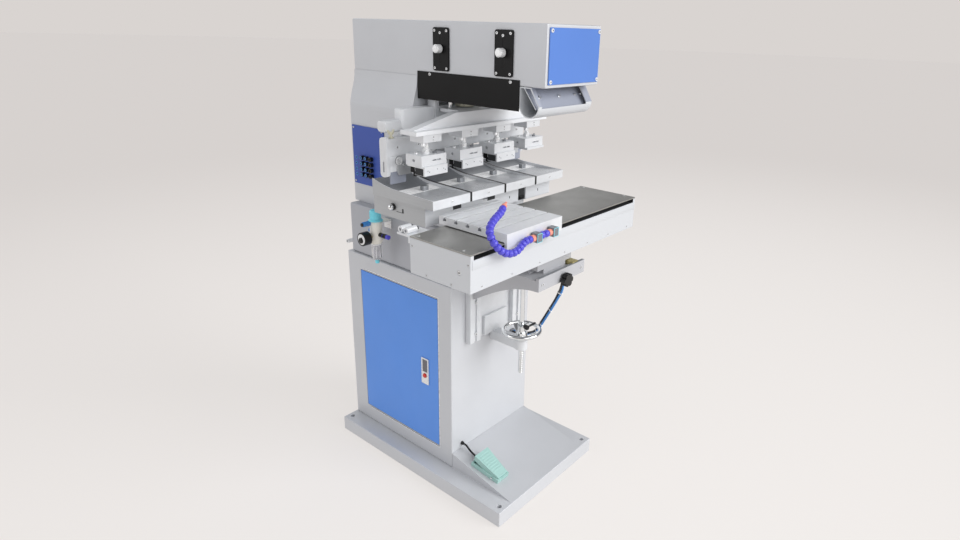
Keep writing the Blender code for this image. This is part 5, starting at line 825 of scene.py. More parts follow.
@dataclass
class Studio:
    """The camera, the lamps, the floor and the air round it."""

    camera_place: Point = (-1.454, -1.400, 1.466)
    yaw_deg: float = 51.75
    pitch_deg: float = 19.07
    roll_deg: float = 1.94
    focal_px: float = 631.9
    centre_px: tuple[float, float] = (524.4, 247.1)
    frame_px: tuple[int, int] = (960, 540)
    sensor_mm: float = 36.0
    floor_radius: float = 60.0
    floor_glow: float = 0.7
    glow_centre: Point = (0.6, -0.9, 0.0)
    glow_reach: float = 7.0
    near_tone: str = "efebe8"
    far_tone: str = "d9d4d1"
    air_strength: float = 0.69
    card_edges: tuple[float, float] = (0.36, 0.66)
    card_strength: float = 0.24

    def camera(self) -> bpy.types.Object:
        """Place the camera at the photograph's viewpoint."""
        yaw, pitch, roll = (math.radians(v) for v in (self.yaw_deg, self.pitch_deg, self.roll_deg))
        ahead = Vector((math.sin(yaw) * math.cos(pitch), math.cos(yaw) * math.cos(pitch), -math.sin(pitch)))
        level = Vector((math.cos(yaw), -math.sin(yaw), 0.0))
        up = level.cross(ahead)
        right = level * math.cos(roll) + up * math.sin(roll)
        top = up * math.cos(roll) - level * math.sin(roll)
        data = bpy.data.cameras.new("camera")
        data.sensor_width = self.sensor_mm
        width, height = self.frame_px
        data.lens = self.focal_px / width * self.sensor_mm
        data.shift_x = (width / 2 - self.centre_px[0]) / width
        data.shift_y = (self.centre_px[1] - height / 2) / width
        data.clip_start, data.clip_end = 0.05, 200.0
        made = linked("camera", data)
        turn = Matrix((right, top, -ahead)).transposed().to_4x4()
        made.matrix_world = Matrix.Translation(Vector(self.camera_place)) @ turn
        bpy.context.scene.camera = made
        return made

    def lamp(self, name: str, place: Point, target: Point, size: float, power: float,
             colour: str = "ffffff") -> bpy.types.Object:
        """Add a square soft lamp.

        Args:
            name: The lamp's name.
            place: Where it stands.
            target: What it points at.
            size: Its side in metres.
            power: Its power in watts.
            colour: Its colour as sRGB hex.

        Returns:
            The lamp.
        """
        data = bpy.data.lights.new(name, "AREA")
        data.shape = "SQUARE"
        data.size = size
        data.energy = power
        data.color = linear_colour(colour)[:3]
        made = linked(name, data)
        made.matrix_world = Matrix.Translation(Vector(place)) @ turned_to(Vector(place) - Vector(target))
        return made

    def sun(self, name: str, toward: Point, power: float, spread_deg: float, colour: str = "ffffff") -> None:
        """Add a broad distant light.

        Args:
            name: The light's name.
            toward: The direction from the machine to the light.
            power: Its power in watts per square metre.
            spread_deg: The angle that it fills, which softens its shadow.
            colour: Its colour as sRGB hex.
        """
        data = bpy.data.lights.new(name, "SUN")
        data.energy = power
        data.angle = math.radians(spread_deg)
        data.color = linear_colour(colour)[:3]
        made = linked(name, data)
        made.matrix_world = turned_to(Vector(toward).normalized())

    def floor(self) -> bpy.types.Object:
        """Lay a seamless lit floor: bright near the machine, fading to the air's tone far off."""
        bm = bmesh.new()
        bmesh.ops.create_circle(bm, cap_ends=True, radius=self.floor_radius, segments=96)
        mesh = mesh_of("studio_floor", bm)
        made = linked("studio_floor", mesh)
        paper = bpy.data.materials.new("seamless_paper")
        paper.use_nodes = True
        tree = paper.node_tree
        shader = tree.nodes["Principled BSDF"]
        places = add_node(tree, "TexCoord")
        away = add_node(tree, "VectorMath", {"operation": "DISTANCE"}, {
            0: places.outputs["Object"], 1: self.glow_centre,
        })
        rise = add_node(tree, "MapRange", {"interpolation_type": "SMOOTHSTEP"}, {
            "Value": away.outputs["Value"], "From Min": 0.2, "From Max": self.glow_reach, "To Min": 0.0, "To Max": 1.0,
        })
        tone = add_node(tree, "Mix", {"data_type": "RGBA"}, {
            0: rise.outputs["Result"], 6: linear_colour(self.near_tone), 7: linear_colour(self.far_tone),
        })
        tree.links.new(tone.outputs[2], shader.inputs["Base Color"])
        shader.inputs["Roughness"].default_value = 0.9
        shader.inputs["Specular IOR Level"].default_value = 0.0
        lit = add_node(tree, "Emission", None, {"Color": tone.outputs[2], "Strength": 1.0})
        mix = add_node(tree, "MixShader", None, {0: self.floor_glow, 1: shader.outputs[0], 2: lit.outputs[0]})
        tree.links.new(mix.outputs[0], tree.nodes["Material Output"].inputs["Surface"])
        mesh.materials.append(paper)
        return made

    def world(self) -> None:
        """Fill the air with an even pale light."""
        made = bpy.data.worlds.new("studio_air")
        bpy.context.scene.world = made
        made.use_nodes = True
        tree = made.node_tree
        back = tree.nodes["Background"]
        back.inputs["Color"].default_value = linear_colour("f4f4f6")
        back.inputs["Strength"].default_value = self.air_strength
        seen = add_node(tree, "Background", None, {"Color": linear_colour(self.far_tone), "Strength": 1.0})
        path = add_node(tree, "LightPath")
        # Mirrors see a dark band beside the bright air, which gives chrome its contrast.
        ahead = add_node(tree, "TexCoord")
        bands = add_node(tree, "SeparateXYZ", None, {0: ahead.outputs["Generated"]})
        darker = add_node(tree, "MapRange", {"interpolation_type": "SMOOTHSTEP"}, {
            "Value": bands.outputs["Y"], "From Min": self.card_edges[0], "From Max": self.card_edges[1],
            "To Min": self.card_strength, "To Max": 1.0,
        })
        card = add_node(tree, "Background", None, {
            "Color": linear_colour("f4f4f6"), "Strength": darker.outputs["Result"],
        })
        mirrored = add_node(tree, "MixShader", None, {
            0: path.outputs["Is Glossy Ray"], 1: back.outputs[0], 2: card.outputs[0],
        })
        mix = add_node(tree, "MixShader", None, {
            0: path.outputs["Is Camera Ray"], 1: mirrored.outputs[0], 2: seen.outputs[0],
        })
        tree.links.new(mix.outputs[0], tree.nodes["World Output"].inputs["Surface"])

    def build(self) -> None:
        """Set the whole studio up."""
        self.camera()
        self.world()
        self.floor()
        self.sun("front_light", (0.35, -0.83, 0.44), 2.15, 38.0)
        self.lamp("left_softbox", (-3.4, 1.6, 2.2), (0.0, 0.0, 0.9), 2.0, 20.0)
        self.lamp("throat_fill", (-0.6, -2.4, 1.9), (0.0, 0.0, 1.1), 1.6, 15.0)
        bpy.context.scene.view_settings.view_transform = "Standard"


# ---- curved pieces


def along_route(points: Sequence[Vector], spacing: float) -> list[Vector]:
    """Points at an even spacing on a smooth curve through a route.

    Args:
        points: The route's points.
        spacing: The distance between two made points.

    Returns:
        The made points, the route's ends among them.
    """
    padded = [points[0] * 2 - points[1], *points, points[-1] * 2 - points[-2]]
    dense: list[Vector] = []
    for before, start, end, after in zip(padded, padded[1:], padded[2:], padded[3:]):
        for step in range(40):
            t = step / 40
            dense.append(0.5 * (
                2 * start + (end - before) * t + (2 * before - 5 * start + 4 * end - after) * t * t
                + (3 * start - before - 3 * end + after) * t ** 3
            ))
    dense.append(points[-1])
    lengths = [0.0]
    for first, second in zip(dense, dense[1:]):
        lengths.append(lengths[-1] + (second - first).length)
    count = max(2, round(lengths[-1] / spacing))
    made, place = [], 0
    for step in range(count + 1):
        wanted = lengths[-1] * step / count
        while place < len(lengths) - 2 and lengths[place + 1] < wanted:
            place += 1
        share = (wanted - lengths[place]) / max(lengths[place + 1] - lengths[place], 1e-9)
        made.append(dense[place].lerp(dense[place + 1], min(share, 1.0)))
    return made


def ease(value: float, start: float, end: float) -> float:
    """Rise smoothly from zero at the start to one at the end.

    Args:
        value: The place.
        start: Where the rise starts.
        end: Where it ends.

    Returns:
        The share risen.
    """
    share = min(max((value - start) / (end - start), 0.0), 1.0)
    return share * share * (3.0 - 2.0 * share)


def sweep(bm: bmesh.types.BMesh, points: Sequence[Vector], radius: float, sides: int = 18, number: int = 0) -> None:
    """Add a round tube along a line of points, with closed ends.

    Args:
        bm: The mesh to add to.
        points: The centreline.
        radius: The tube's radius.
        sides: The number of sides.
        number: The material number of its faces.
    """
    tangent = (points[1] - points[0]).normalized()
    side = tangent.orthogonal().normalized()
    rings: list[list[bmesh.types.BMVert]] = []
    for place, point in enumerate(points):
        ahead = points[min(place + 1, len(points) - 1)] - points[max(place - 1, 0)]
        turn = tangent.rotation_difference(ahead.normalized())
        side, tangent = turn @ side, ahead.normalized()
        other = tangent.cross(side)
        rings.append([
            bm.verts.new(point + (side * math.cos(a) + other * math.sin(a)) * radius)
            for a in (2 * math.pi * step / sides for step in range(sides))
        ])
    for first, second in zip(rings, rings[1:]):
        for step in range(sides):
            after = (step + 1) % sides
            bm.faces.new((first[step], first[after], second[after], second[step])).material_index = number
    bm.faces.new(list(reversed(rings[0]))).material_index = number
    bm.faces.new(rings[-1]).material_index = number


BEAD_PROFILE = (
    (0.0000, 0.0060), (0.0006, 0.0074), (0.0018, 0.0093), (0.0036, 0.0103), (0.0058, 0.0105), (0.0082, 0.0105),
    (0.0102, 0.0099), (0.0118, 0.0088), (0.0127, 0.0082), (0.0130, 0.0088), (0.0148, 0.0088), (0.0152, 0.0076),
)


@dataclass
class BeadedHose:
    """The beaded hose on the worktable: beads that snap together, its blocks and the nozzle."""

    body: str = "worktable"
    y: float = -0.4263
    z: float = 0.938
    pitch: float = 0.0165
    radius: float = 0.0105
    start_x: float = -0.1913
    route: tuple[Point, ...] = (
        (-0.245, -0.433, 0.929), (-0.265, -0.437, 0.924), (-0.293, -0.437, 0.925), (-0.3145, -0.434, 0.934),
        (-0.333, -0.430, 0.9515), (-0.343, -0.422, 0.970), (-0.339, -0.410, 0.985), (-0.324, -0.398, 0.9945),
        (-0.2945, -0.385, 1.004), (-0.2565, -0.372, 1.011), (-0.2305, -0.361, 1.020),
    )

    def beads(self, bm: bmesh.types.BMesh, line: Sequence[Vector]) -> None:
        """Add a bead on each step of a line.

        Args:
            bm: The mesh to add to.
            line: The points where the beads start, and the last one's end.
        """
        for first, second in zip(line, line[1:]):
            step = second - first
            scale = step.length / self.pitch
            rings = [(radius, height * scale) for height, radius in BEAD_PROFILE]
            add_disc(bm, tuple(first), step.normalized(), rings, 22)
            neck = [(0.0062, 0.0), (0.0062, step.length * 0.2)]
            add_disc(bm, tuple(second - step * 0.12), step.normalized(), neck, 16)

    def build(self) -> None:
        """Make the long hose, the short link and the dressed blocks."""
        lead = [Vector((self.start_x - self.pitch * step / 2, self.y, self.z)) for step in range(4)]
        points = [*lead, *(Vector(point) for point in self.route)]
        line = along_route(points, self.pitch)
        bm = bmesh.new()
        self.beads(bm, line[:-1])
        tip = line[-1] - line[-2]
        add_disc(bm, tuple(line[-2]), tip.normalized(), [
            (0.0062, 0.0), (0.0088, 0.001), (0.0098, 0.004), (0.0098, 0.011), (0.0080, 0.0145), (0.0070, 0.0158),
        ], 22, 0)
        hose = new_object("hose_long_beads", bm, (Finishes.violet, Finishes.coral), self.body)
        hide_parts("hose_long")
        nozzle = dressed(Skin("nozzle", Finishes.coral, 0.3))
        path = along_route(points, 0.003)
        bm = bmesh.new()
        first = Vector((-0.1171, self.y, self.z))
        self.beads(bm, [first + LEFT * self.pitch * 1.18 * step for step in range(3)])
        link = new_object("hose_short_beads", bm, (Finishes.violet,), self.body)
        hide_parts("hose_short")
        collar = Finishes.coral
        for node, left, right in (("hose_block", -0.1054, -0.0830), ("valve_block", -0.1796, -0.1570)):
            dressed(Skin(node, Finishes.grey, 0.8, (
                Region((-0.25, -0.45, 0.92), (left - 0.0002, -0.40, 0.96), collar),
                Region((right + 0.0002 if node == "valve_block" else 0.1, -0.45, 0.92), (0.2, -0.40, 0.96), collar),
            )))
        bm = bmesh.new()
        for x in (-0.094, -0.168):
            low, high = (x - 0.0108, -0.4388, 0.9254), (x + 0.0108, -0.4382, 0.9506)
            for start, end in (
                (low, (high[0], high[1], low[2] + 0.0012)), ((low[0], low[1], high[2] - 0.0012), high),
                (low, (low[0] + 0.0012, high[1], high[2])), ((high[0] - 0.0012, low[1], low[2]), high),
            ):
                add_block(bm, start, end, 0.1)
        new_object("block_trim", bm, (Finishes.cyan,), self.body)


@dataclass
class AirTubes:
    """The blue and black tubes between the knee and the cabinet, with their ties and manifold."""

    radius: float = 0.0036
    spacing: float = 0.0074
    route: tuple[Point, ...] = (
        (0.0430, -0.378, 0.7627), (0.0430, -0.378, 0.7507), (0.045, -0.374, 0.704), (0.0515, -0.355, 0.6676),
        (0.057, -0.330, 0.6235), (0.0733, -0.285, 0.5534), (0.0893, -0.250, 0.5026), (0.102, -0.215, 0.474),
        (0.106, -0.180, 0.462), (0.106, -0.1486, 0.460), (0.106, -0.1366, 0.460),
    )
    tie_shares: tuple[float, ...] = (0.175, 0.382, 0.59, 0.70)

    def line(self, side: int) -> list[Vector]:
        """The centreline of the blue tube (0) or the black one (-1), which passes behind it between the ends.

        Args:
            side: The tube, 0 or -1.

        Returns:
            The centreline's points.
        """
        points = along_route([Vector(point) for point in self.route], 0.004)
        if side == 0:
            return points
        made = []
        for place, point in enumerate(points):
            share = place / (len(points) - 1)
            turn = math.radians(180.0 - 110.0 * (ease(share, 0.06, 0.26) - ease(share, 0.78, 0.95)))
            ahead = (points[min(place + 1, len(points) - 1)] - points[max(place - 1, 0)]).normalized()
            across = Vector((1.0, 0.0, 0.0))
            back = across.cross(ahead).normalized()
            made.append(point + (across * math.cos(turn) + back * math.sin(turn)) * self.spacing)
        return made

    def bend(self, made: bpy.types.Object) -> None:
        """Bake a piece's placement into its mesh.

        Args:
            made: The piece.
        """
        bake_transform(made)

    def build(self) -> None:
        """Make both tubes, the ties round them and the dressed manifold."""
        ties = bmesh.new()
        tubes = ((0, "air_tube_blue", Finishes.blue_tube), (-1, "air_tube_black", Finishes.black_tube))
        for side, node, finish in tubes:
            line = self.line(side)
            bm = bmesh.new()
            sweep(bm, line, self.radius)
            made = mesh_piece(f"{node}_smooth", bm, (finish,))
            self.bend(made)
            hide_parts(node)
        line = self.line(0)
        for share in self.tie_shares:
            place = round(share * (len(line) - 1))
            tangent = (line[place + 1] - line[place - 1]).normalized()
            other = self.line(-1)[place] - line[place]
            middle = other / 2
            out = (other - tangent * other.dot(tangent)).normalized()
            across = out.cross(tangent).normalized()
            for step in range(28):
                angle = 2 * math.pi * step / 28
                after = 2 * math.pi * (step + 1) / 28
                corners = []
                for turn, reach, rise in ((angle, 1.0, -1), (after, 1.0, -1), (after, 1.0, 1), (angle, 1.0, 1)):
                    flat = across * math.cos(turn) * 0.0045 + out * math.sin(turn) * 0.0085
                    corners.append(ties.verts.new(line[place] + middle + flat * reach + tangent * rise * 0.0016))
                ties.faces.new(corners)
            lock = line[place] + middle - out * 0.0085
            reach = Vector((0.0018, 0.0016, 0.0018))
            add_block(ties, tuple(lock - reach), tuple(lock + reach), 0.2)
        bmesh.ops.remove_doubles(ties, verts=ties.verts, dist=1e-6)
        made = mesh_piece("tube_ties", ties, (Finishes.white,))
        thick = made.modifiers.new("thickness", "SOLIDIFY")
        thick.thickness = 0.0008
        self.bend(made)
        dressed(Skin("tube_manifold", Finishes.grey, 0.5))


@dataclass
class Base:
    """The base plate with its ramp, its fixing screws and the pedal in front of it."""

    def build(self) -> None:
        """Dress the base and the pedal, and add the pins and cord."""
        dressed(Skin("base_plate", Finishes.silver, 1.2))
        dressed(Skin("pedal_base", Finishes.mint, 0.8))
        dressed(Skin("pedal_treadle", Finishes.mint, 0.6))
        bm = bmesh.new()
        for side in (-1, 1):
            place = (-0.143 + side * 0.0335, -0.28755, 0.08384)
            add_disc(bm, place, Axis.X.vector(side), [(0.0030, 0.0), (0.0030, 0.0008), (0.0024, 0.0014)], 20)
        new_object("pedal_pivot_pins", bm, (Finishes.zinc,), "machine")
        start, end = Vector((-0.143, -0.1943, 0.1004)), Vector((-0.146, -0.1343, 0.126))
        middle = [
            start + Vector((0.0, 0.012, 0.0016)), Vector((-0.1445, -0.164, 0.1115)), end - Vector((0.0, 0.012, 0.001)),
        ]
        line = along_route([start, *middle, end], 0.003)
        bm = bmesh.new()
        sweep(bm, line, 0.0032, 20)
        cord = new_object("pedal_cord_smooth", bm, (Finishes.black_tube,), "machine")
        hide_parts("pedal_cord")
        dressed(Skin("cord_grommet", Finishes.black_plastic, 0.4))


@dataclass
class Cabinet:
    """The cabinet with its door, lock, middle body and guide."""

    def build(self) -> None:
        """Dress the sheet metal and add the screws and plugs."""
        dressed(Skin("cabinet", Finishes.silver, 1.0))
        dressed(Skin("middle_body", Finishes.middle_enamel, 1.2))
        dressed(Skin("side_door", Finishes.door_blue, 2.0))
        dressed(Skin("door_lock", Finishes.zinc, 0.7, (
            Region((-0.1972, -0.0200, 0.3315), (-0.1935, 0.0105, 0.4225), Finishes.dark_nickel, (-1.0, 0.0, 0.0)),
        )))
        dressed(Skin("lock_button", Finishes.red, 0.5))
        dressed(Skin("guide_plate", Finishes.aluminium, 0.6))
        places = [((side * (0.129 - 0.0245), -0.1483, z), FRONT) for side in (-1, 1) for z in (0.530, 0.640, 0.760)]
        screws("guide_screws", "machine", ScrewHead(0.0050, 0.0036), places)
        bm = bmesh.new()
        for x, z in ((-0.174, 0.079), (-0.154, 0.080), (-0.1545, 0.059)):
            add_disc(bm, (x, -0.126, z), FRONT, [(0.0055, -0.0002), (0.0055, 0.0012), (0.0045, 0.0018)], 24)
        new_object("cabinet_plugs", bm, (Finishes.grey,), "machine")
        self.door_frame()

    def door_frame(self) -> None:
        """Line the doorway, except along its hinge, with a bright band of painted highlight and a dark band of painted
        shade beside it.
        """
        low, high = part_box("side_door")
        clear_of_hinge = 0.0180
        # Widths of the bright band of painted highlight and the dark band of painted shade, then how far they stand off
        # the side.
        lip, shade_band, proud = 0.0026, 0.0016, 0.0006
        bm = bmesh.new()
        for number, (inner, outer) in enumerate(((shade_band, shade_band + lip), (0.0, shade_band))):
            front, rear, top, bottom = low.y, high.y - clear_of_hinge, high.z, low.z
            face, back = -0.1940 - proud * (1 - number * 0.5), -0.1936
            for first, second in (
                ((front - outer, bottom - outer), (front - inner, top + outer)),
                ((front - inner, top + inner), (rear, top + outer)),
                ((front - inner, bottom - outer), (rear, bottom - inner)),
            ):
                add_block(bm, (face, first[0], first[1]), (back, second[0], second[1]), 0.0, number)
        new_object("doorway_edge", bm, (Finishes.aluminium_bright, Finishes.dark_gap), "machine")


@dataclass
class HeadUnit:
    """The head and column with their covers, plates, knobs and control trough."""

    def build(self) -> None:
        """Dress the head's pieces and add its screws and fittings."""
        dressed(Skin("head_housing", Finishes.silver, 1.4))
        dressed(Skin("front_plate", Finishes.front_blue, 0.6))
        dressed(Skin("side_cover_left", Finishes.black_plate, 0.4))
        dressed(Skin("side_cover_right", Finishes.black_plate, 0.4))
        dressed(Skin("control_trough", Finishes.bright_sheet, 0.5, (
            Region((-0.123, -0.376, 1.262), (0.123, -0.331, 1.318), Finishes.grey_panel, (0.0, -0.79, 0.61)),
            # The right end wall's inner face, painted white: painted light on a face that falls in shade.
            Region((0.117, -0.386, 1.24), (0.1252, -0.317, 1.322), Finishes.white, (-1.0, 0.0, 0.0)),
        )))
        slots_dark = bmesh.new()
        for middle in (-0.263, -0.026):
            add_block(slots_dark, (-0.1288, middle - 0.0060, 1.3500), (-0.1254, middle + 0.0060, 1.4560), 0.0)
        new_object("slot_shadows", slots_dark, (Finishes.black_plate,), "machine")
        for node in ("slot_plate_front", "slot_plate_rear"):
            dressed(Skin(node, Finishes.black_plate, 0.6))
        for node in ("stroke_knob_front", "stroke_knob_rear"):
            dressed(Skin(node, Finishes.aluminium_bright, 1.0))
        covers = [((side * 0.1273, y, 1.3302), Axis.X.vector(side)) for side in (-1, 1) for y in (0.022, -0.2886)]
        screws("cover_screws", "machine", ScrewHead(0.0044, 0.0026), covers)
        plate = [((side * 0.1085, -0.4053, z), FRONT) for side in (-1, 1) for z in (1.3375, 1.4635)]
        screws("front_plate_screws", "machine", ScrewHead(0.0052, 0.0028), plate, Finishes.aluminium_bright)
        spots = ((-0.024, 1.350), (0.024, 1.350), (-0.024, 1.453), (0.024, 1.453), (0.002, 1.447))
        slots = [((-0.1293, middle + dy, z), LEFT) for middle in (-0.263, -0.026) for dy, z in spots]
        screws("slot_plate_screws", "machine", ScrewHead(0.0038, 0.0020), slots)
        tilt = Vector((0.0, -0.79, 0.61)).normalized()
        knobs = bmesh.new()
        for x in (-0.088, 0.002, 0.079, 0.107):
            radius = 0.0052 if x < 0.05 else 0.0038
            add_disc(knobs, (x, -0.3535, 1.2914), tilt, [
                (radius, -0.0002), (radius, 0.0030), (radius * 0.72, 0.0042), (radius * 0.66, 0.0062),
            ], 24)
        new_object("trough_studs", knobs, (Finishes.chrome,), "machine")
        self.valve_panel()

    def valve_panel(self) -> None:
        """Dress the valve panel and give each port its release ring and a dark disc of painted shade for its bore."""
        dressed(Skin("valve_panel", Finishes.panel_blue, 0.5, (
            Region((-0.170, 0.21, 0.94), (-0.1536, 0.38, 1.15), Finishes.black_plastic),
        )))
        rings = bmesh.new()
        for row in range(4):
            for column in range(3):
                place = (-0.1653, 0.300 + 0.022 * column, 0.985 + 0.019 * row)
                add_disc(rings, place, LEFT, [(0.0052, -0.0003), (0.0054, 0.0008), (0.0048, 0.0014)], 20)
                # Each port's bore is a flat dark disc: painted shade.
                bore = (place[0] - 0.00142, place[1], place[2])
                add_disc(rings, bore, LEFT, [(0.0030, 0.0), (0.0030, 0.00004)], 20, 1)
        new_object("valve_port_rings", rings, (Finishes.blue_tube, Finishes.dark_gap), "machine")
        places = [((-0.1533, y, z), LEFT) for y in (0.223, 0.368) for z in (0.957, 1.138)]
        screws("valve_panel_screws", "machine", ScrewHead(0.0032, 0.0020), places)


@dataclass
class PrintingUnit:
    """What hangs under the head: carriage, beam, four pad clamps and the blade unit, over the ink trays."""

    pitch: float = 0.1526

    def centres(self) -> list[float]:
        """The stations' places across the machine."""
        return [self.pitch * (number - 1.5) for number in range(4)]

    def build(self) -> None:
        """Dress the unit and add its fittings."""
        dressed(Skin("carriage", Finishes.aluminium, 0.6, (
            Region((-0.080, -0.010, 1.20), (0.080, 0.036, 1.2679), Finishes.brass),
        )))
        self.casting()
        dressed(Skin("pad_beam", Finishes.beam_white, 0.6, (
            Region((-0.064, 0.003, 1.2285), (0.064, 0.021, 1.32), Finishes.chrome),
        )))
        bm = bmesh.new()
        add_disc(bm, (0.0650, -0.0350, 1.2280), UP, [
            (0.0045, -0.0002), (0.0045, 0.0020), (0.0030, 0.0030), (0.0042, 0.0050), (0.0062, 0.0080),
            (0.0066, 0.0110), (0.0058, 0.0145), (0.0030, 0.0165),
        ], 24)
        new_object("beam_oiler", bm, (Finishes.aluminium_bright,), "pad_beam")
        for number, x in enumerate(self.centres(), 1):
            self.clamp(number, x)
        dressed(Skin("blade_bar", Finishes.aluminium, 0.5))
        dressed(Skin("scraper_bar", Finishes.aluminium, 0.4, (
            Region((-0.29, 0.0, 1.05), (0.29, 0.021, 1.0765), Finishes.plate_steel),
        )))
        dressed(Skin("wing_screw", Finishes.pale_brass, 0.4))
        tilt = Vector((0.0, -0.96, 0.26))
        blades = [((x + dx, 0.0063, 1.080), tilt) for x in self.centres() for dx in (-0.022, 0.022)]
        screws("scraper_screws", "blade_unit", ScrewHead(0.0036, 0.0022), blades)
        bar = [((x + dx, 0.012, 1.132), FRONT) for x in self.centres() for dx in (-0.040, 0.040)]
        screws("blade_bar_screws", "blade_unit", ScrewHead(0.0038, 0.0024), bar)
        self.end_plates()
        self.trays()

    def casting(self) -> None:
        """Model the thick round-ended arm of the carriage that shows behind the pad beam."""
        bm = bmesh.new()
        add_block(bm, (-0.2250, 0.0400, 1.1740), (0.2250, 0.0795, 1.2330), 0.0)
        ends = [edge for edge in bm.edges if abs(edge.verts[0].co.x - edge.verts[1].co.x) < 0.001]
        bmesh.ops.bevel(bm, geom=ends, offset=0.014, segments=6, profile=0.5, affect="EDGES", material=-1)
        new_object("carriage_casting", bm, (Finishes.beam_white,), "carriage")
        bm = bmesh.new()
        add_disc(bm, (0.0100, 0.0120, 1.2300), UP, [
            (0.0290, 0.0000), (0.0310, 0.0015), (0.0310, 0.0120), (0.0270, 0.0135), (0.0270, 0.0190),
            (0.0310, 0.0205), (0.0310, 0.0330), (0.0290, 0.0345), (0.0290, 0.0381),
        ], 40)
        new_object("piston_gland", bm, (Finishes.pale_brass,), "carriage")

    def clamp(self, number: int, x: float) -> None:
        """Dress a pad clamp and add its screws, lever, ear, the dark pad seat behind its jaw and a dark sheet of
        painted shade on the jaw's side.

        Args:
            number: The station, counted from the left.
            x: The station's place across the machine.
        """
        body = f"pad_holder_{number}"
        jaw = (1.046, 1.0655) if number < 4 else (1.046, 1.0850)
        dressed(Skin(body, Finishes.aluminium, 0.5, (
            Region((-0.4, -0.080, 1.1221), (0.4, -0.052, 1.1306), Finishes.zinc),
        ), 40.0, (), (jaw, (1.084, 1.0905), (1.122, 1.122))))
        bm = bmesh.new()
        add_disc(bm, (x - 0.0240, -0.0800, 1.1555), UP * -1.0, [
            (0.0052, -0.0002), (0.0052, 0.0030), (0.0060, 0.0045), (0.0060, 0.0090), (0.0040, 0.0110),
        ], 24)
        add_disc(bm, (x + 0.0479, -0.0860, 1.0960), Axis.X.vector(), [
            (0.0085, -0.0006), (0.0090, 0.0006), (0.0090, 0.0050), (0.0075, 0.0062),
        ], 28)
        add_block(bm, (x - 0.0440, -0.0985, 1.0868), (x + 0.0470, -0.0345, 1.0903), 0.4)
        add_disc(bm, (x, -0.066, 1.1300), UP, [
            (0.0100, 0.0), (0.0100, 0.0030), (0.0072, 0.0060), (0.0064, 0.0160), (0.0064, 0.0240), (0.0090, 0.0250),
        ], 32)
        for dx in (-0.030, 0.028):
            add_disc(bm, (x + dx, -0.0560, 1.1220), UP, [(0.0048, -0.0002), (0.0048, 0.0028), (0.0042, 0.0034)], 20)
            # A flat dark hexagon in each head: painted shade of its socket.
            add_disc(bm, (x + dx, -0.0560, 1.12541), UP, [(0.0022, 0.0), (0.0022, 0.0001)], 6, 1)
        add_disc(bm, (x + 0.0180, -0.0820, 1.1220), UP, [(0.0060, -0.0002), (0.0060, 0.0040), (0.0050, 0.0052)], 24, 2)
        lever = Vector((0.82, 0.57, 0.0))
        add_disc(bm, (x + 0.0180, -0.0820, 1.1258), lever, [
            (0.0022, 0.0), (0.0026, 0.0140), (0.0030, 0.0230), (0.0016, 0.0250),
        ], 14, 2)
        new_object(f"{body}_fittings", bm, (Finishes.aluminium_bright, Finishes.dark_gap, Finishes.bare_steel), body)
        front = [((x + 0.003, -0.0940, z), FRONT) for z in (1.1625, 1.1705)]
        screws(f"{body}_screws", body, ScrewHead(0.0024, 0.0014), front)
        if number == 4:
            return
        pins = bmesh.new()
        for dx, z in ((-0.032, 1.0800), (-0.026, 1.0765), (0.004, 1.0815), (0.029, 1.0800), (0.035, 1.0760)):
            add_disc(pins, (x + dx, -0.1069, z), FRONT, [(0.0017, 0.0), (0.0017, 0.0003)], 12)
        new_object(f"{body}_jaw_holes", pins, (Finishes.grey,), body)
        seat = bmesh.new()
        add_block(seat, (x - 0.0425, -0.0668, 1.0700), (x + 0.0425, -0.0460, 1.0866), 0.8)
        add_block(seat, (x - 0.0425, -0.0668, 1.0600), (x + 0.0425, -0.0570, 1.0712), 0.8)
        new_object(f"{body}_seat", seat, (Finishes.black_plate,), body)
        # A thin dark sheet on the jaw's side face: painted shade.
        side = bmesh.new()
        add_block(side, (x - 0.0454, -0.1020, 1.0668), (x - 0.0449, -0.0690, 1.0866), 0.0)
        new_object(f"{body}_jaw_side_painted_shade", side, (Finishes.dark_gap,), body)

    def end_plates(self) -> None:
        """Add the knurled adjusting rings on the blade unit's end brackets."""
        for side, hand in ((-1, "left"), (1, "right")):
            low, high = sorted((side * 0.2980, side * 0.2340))
            bm = bmesh.new()
            add_block(bm, (low, 0.0124, 1.0620), (high, 0.0196, 1.1066), 0.6)
            add_block(bm, (low + 0.003, 0.0130, 1.0260), (high - 0.003, 0.0186, 1.0626), 1.2, 1)
            new_object(f"blade_bracket_{hand}", bm, (Finishes.aluminium, Finishes.grey_panel), "blade_unit")
            ring = bmesh.new()
            middle = (side * 0.2645, 0.0124, 1.0925)
            add_disc(ring, middle, FRONT, [(0.0135, -0.0003), (0.0135, 0.0008)], 40, 1)
            add_disc(ring, middle, FRONT, [
                (0.0118, 0.0), (0.0118, 0.0036), (0.0108, 0.0046), (0.0090, 0.0046), (0.0084, 0.0030),
            ], 40)
            for step in range(36):
                angle = 2 * math.pi * step / 36
                spot = (middle[0] + math.cos(angle) * 0.0118, middle[1] - 0.0018, middle[2] + math.sin(angle) * 0.0118)
                add_disc(ring, spot, FRONT, [(0.0005, -0.0014), (0.0005, 0.0020)], 6)
            new_object(f"blade_ring_{hand}", ring, (Finishes.aluminium_bright, Finishes.bare_steel), "blade_unit")

    def top_profile(self) -> list[tuple[float, float]]:
        """The height of a packed tray's side walls along the machine."""
        mesh = frame["nodes"]["ink_tray_2"].data
        low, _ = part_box("ink_tray_2")
        tops: dict[float, float] = {}
        for vert in mesh.vertices:
            if abs(vert.co.x - low.x) < 0.0002 and vert.co.z > 1.0:
                key = round(vert.co.y, 4)
                tops[key] = max(tops.get(key, 0.0), vert.co.z)
        return sorted(tops.items())

    def top_at(self, y: float) -> float:
        """The side walls' height at a place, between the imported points.

        Args:
            y: The place along the machine.

        Returns:
            The height.
        """
        points = self.top_profile()
        for (first, low), (second, high) in zip(points, points[1:]):
            if first <= y <= second:
                return low + (high - low) * (y - first) / (second - first)
        return points[0][1] if y < points[0][0] else points[-1][1]

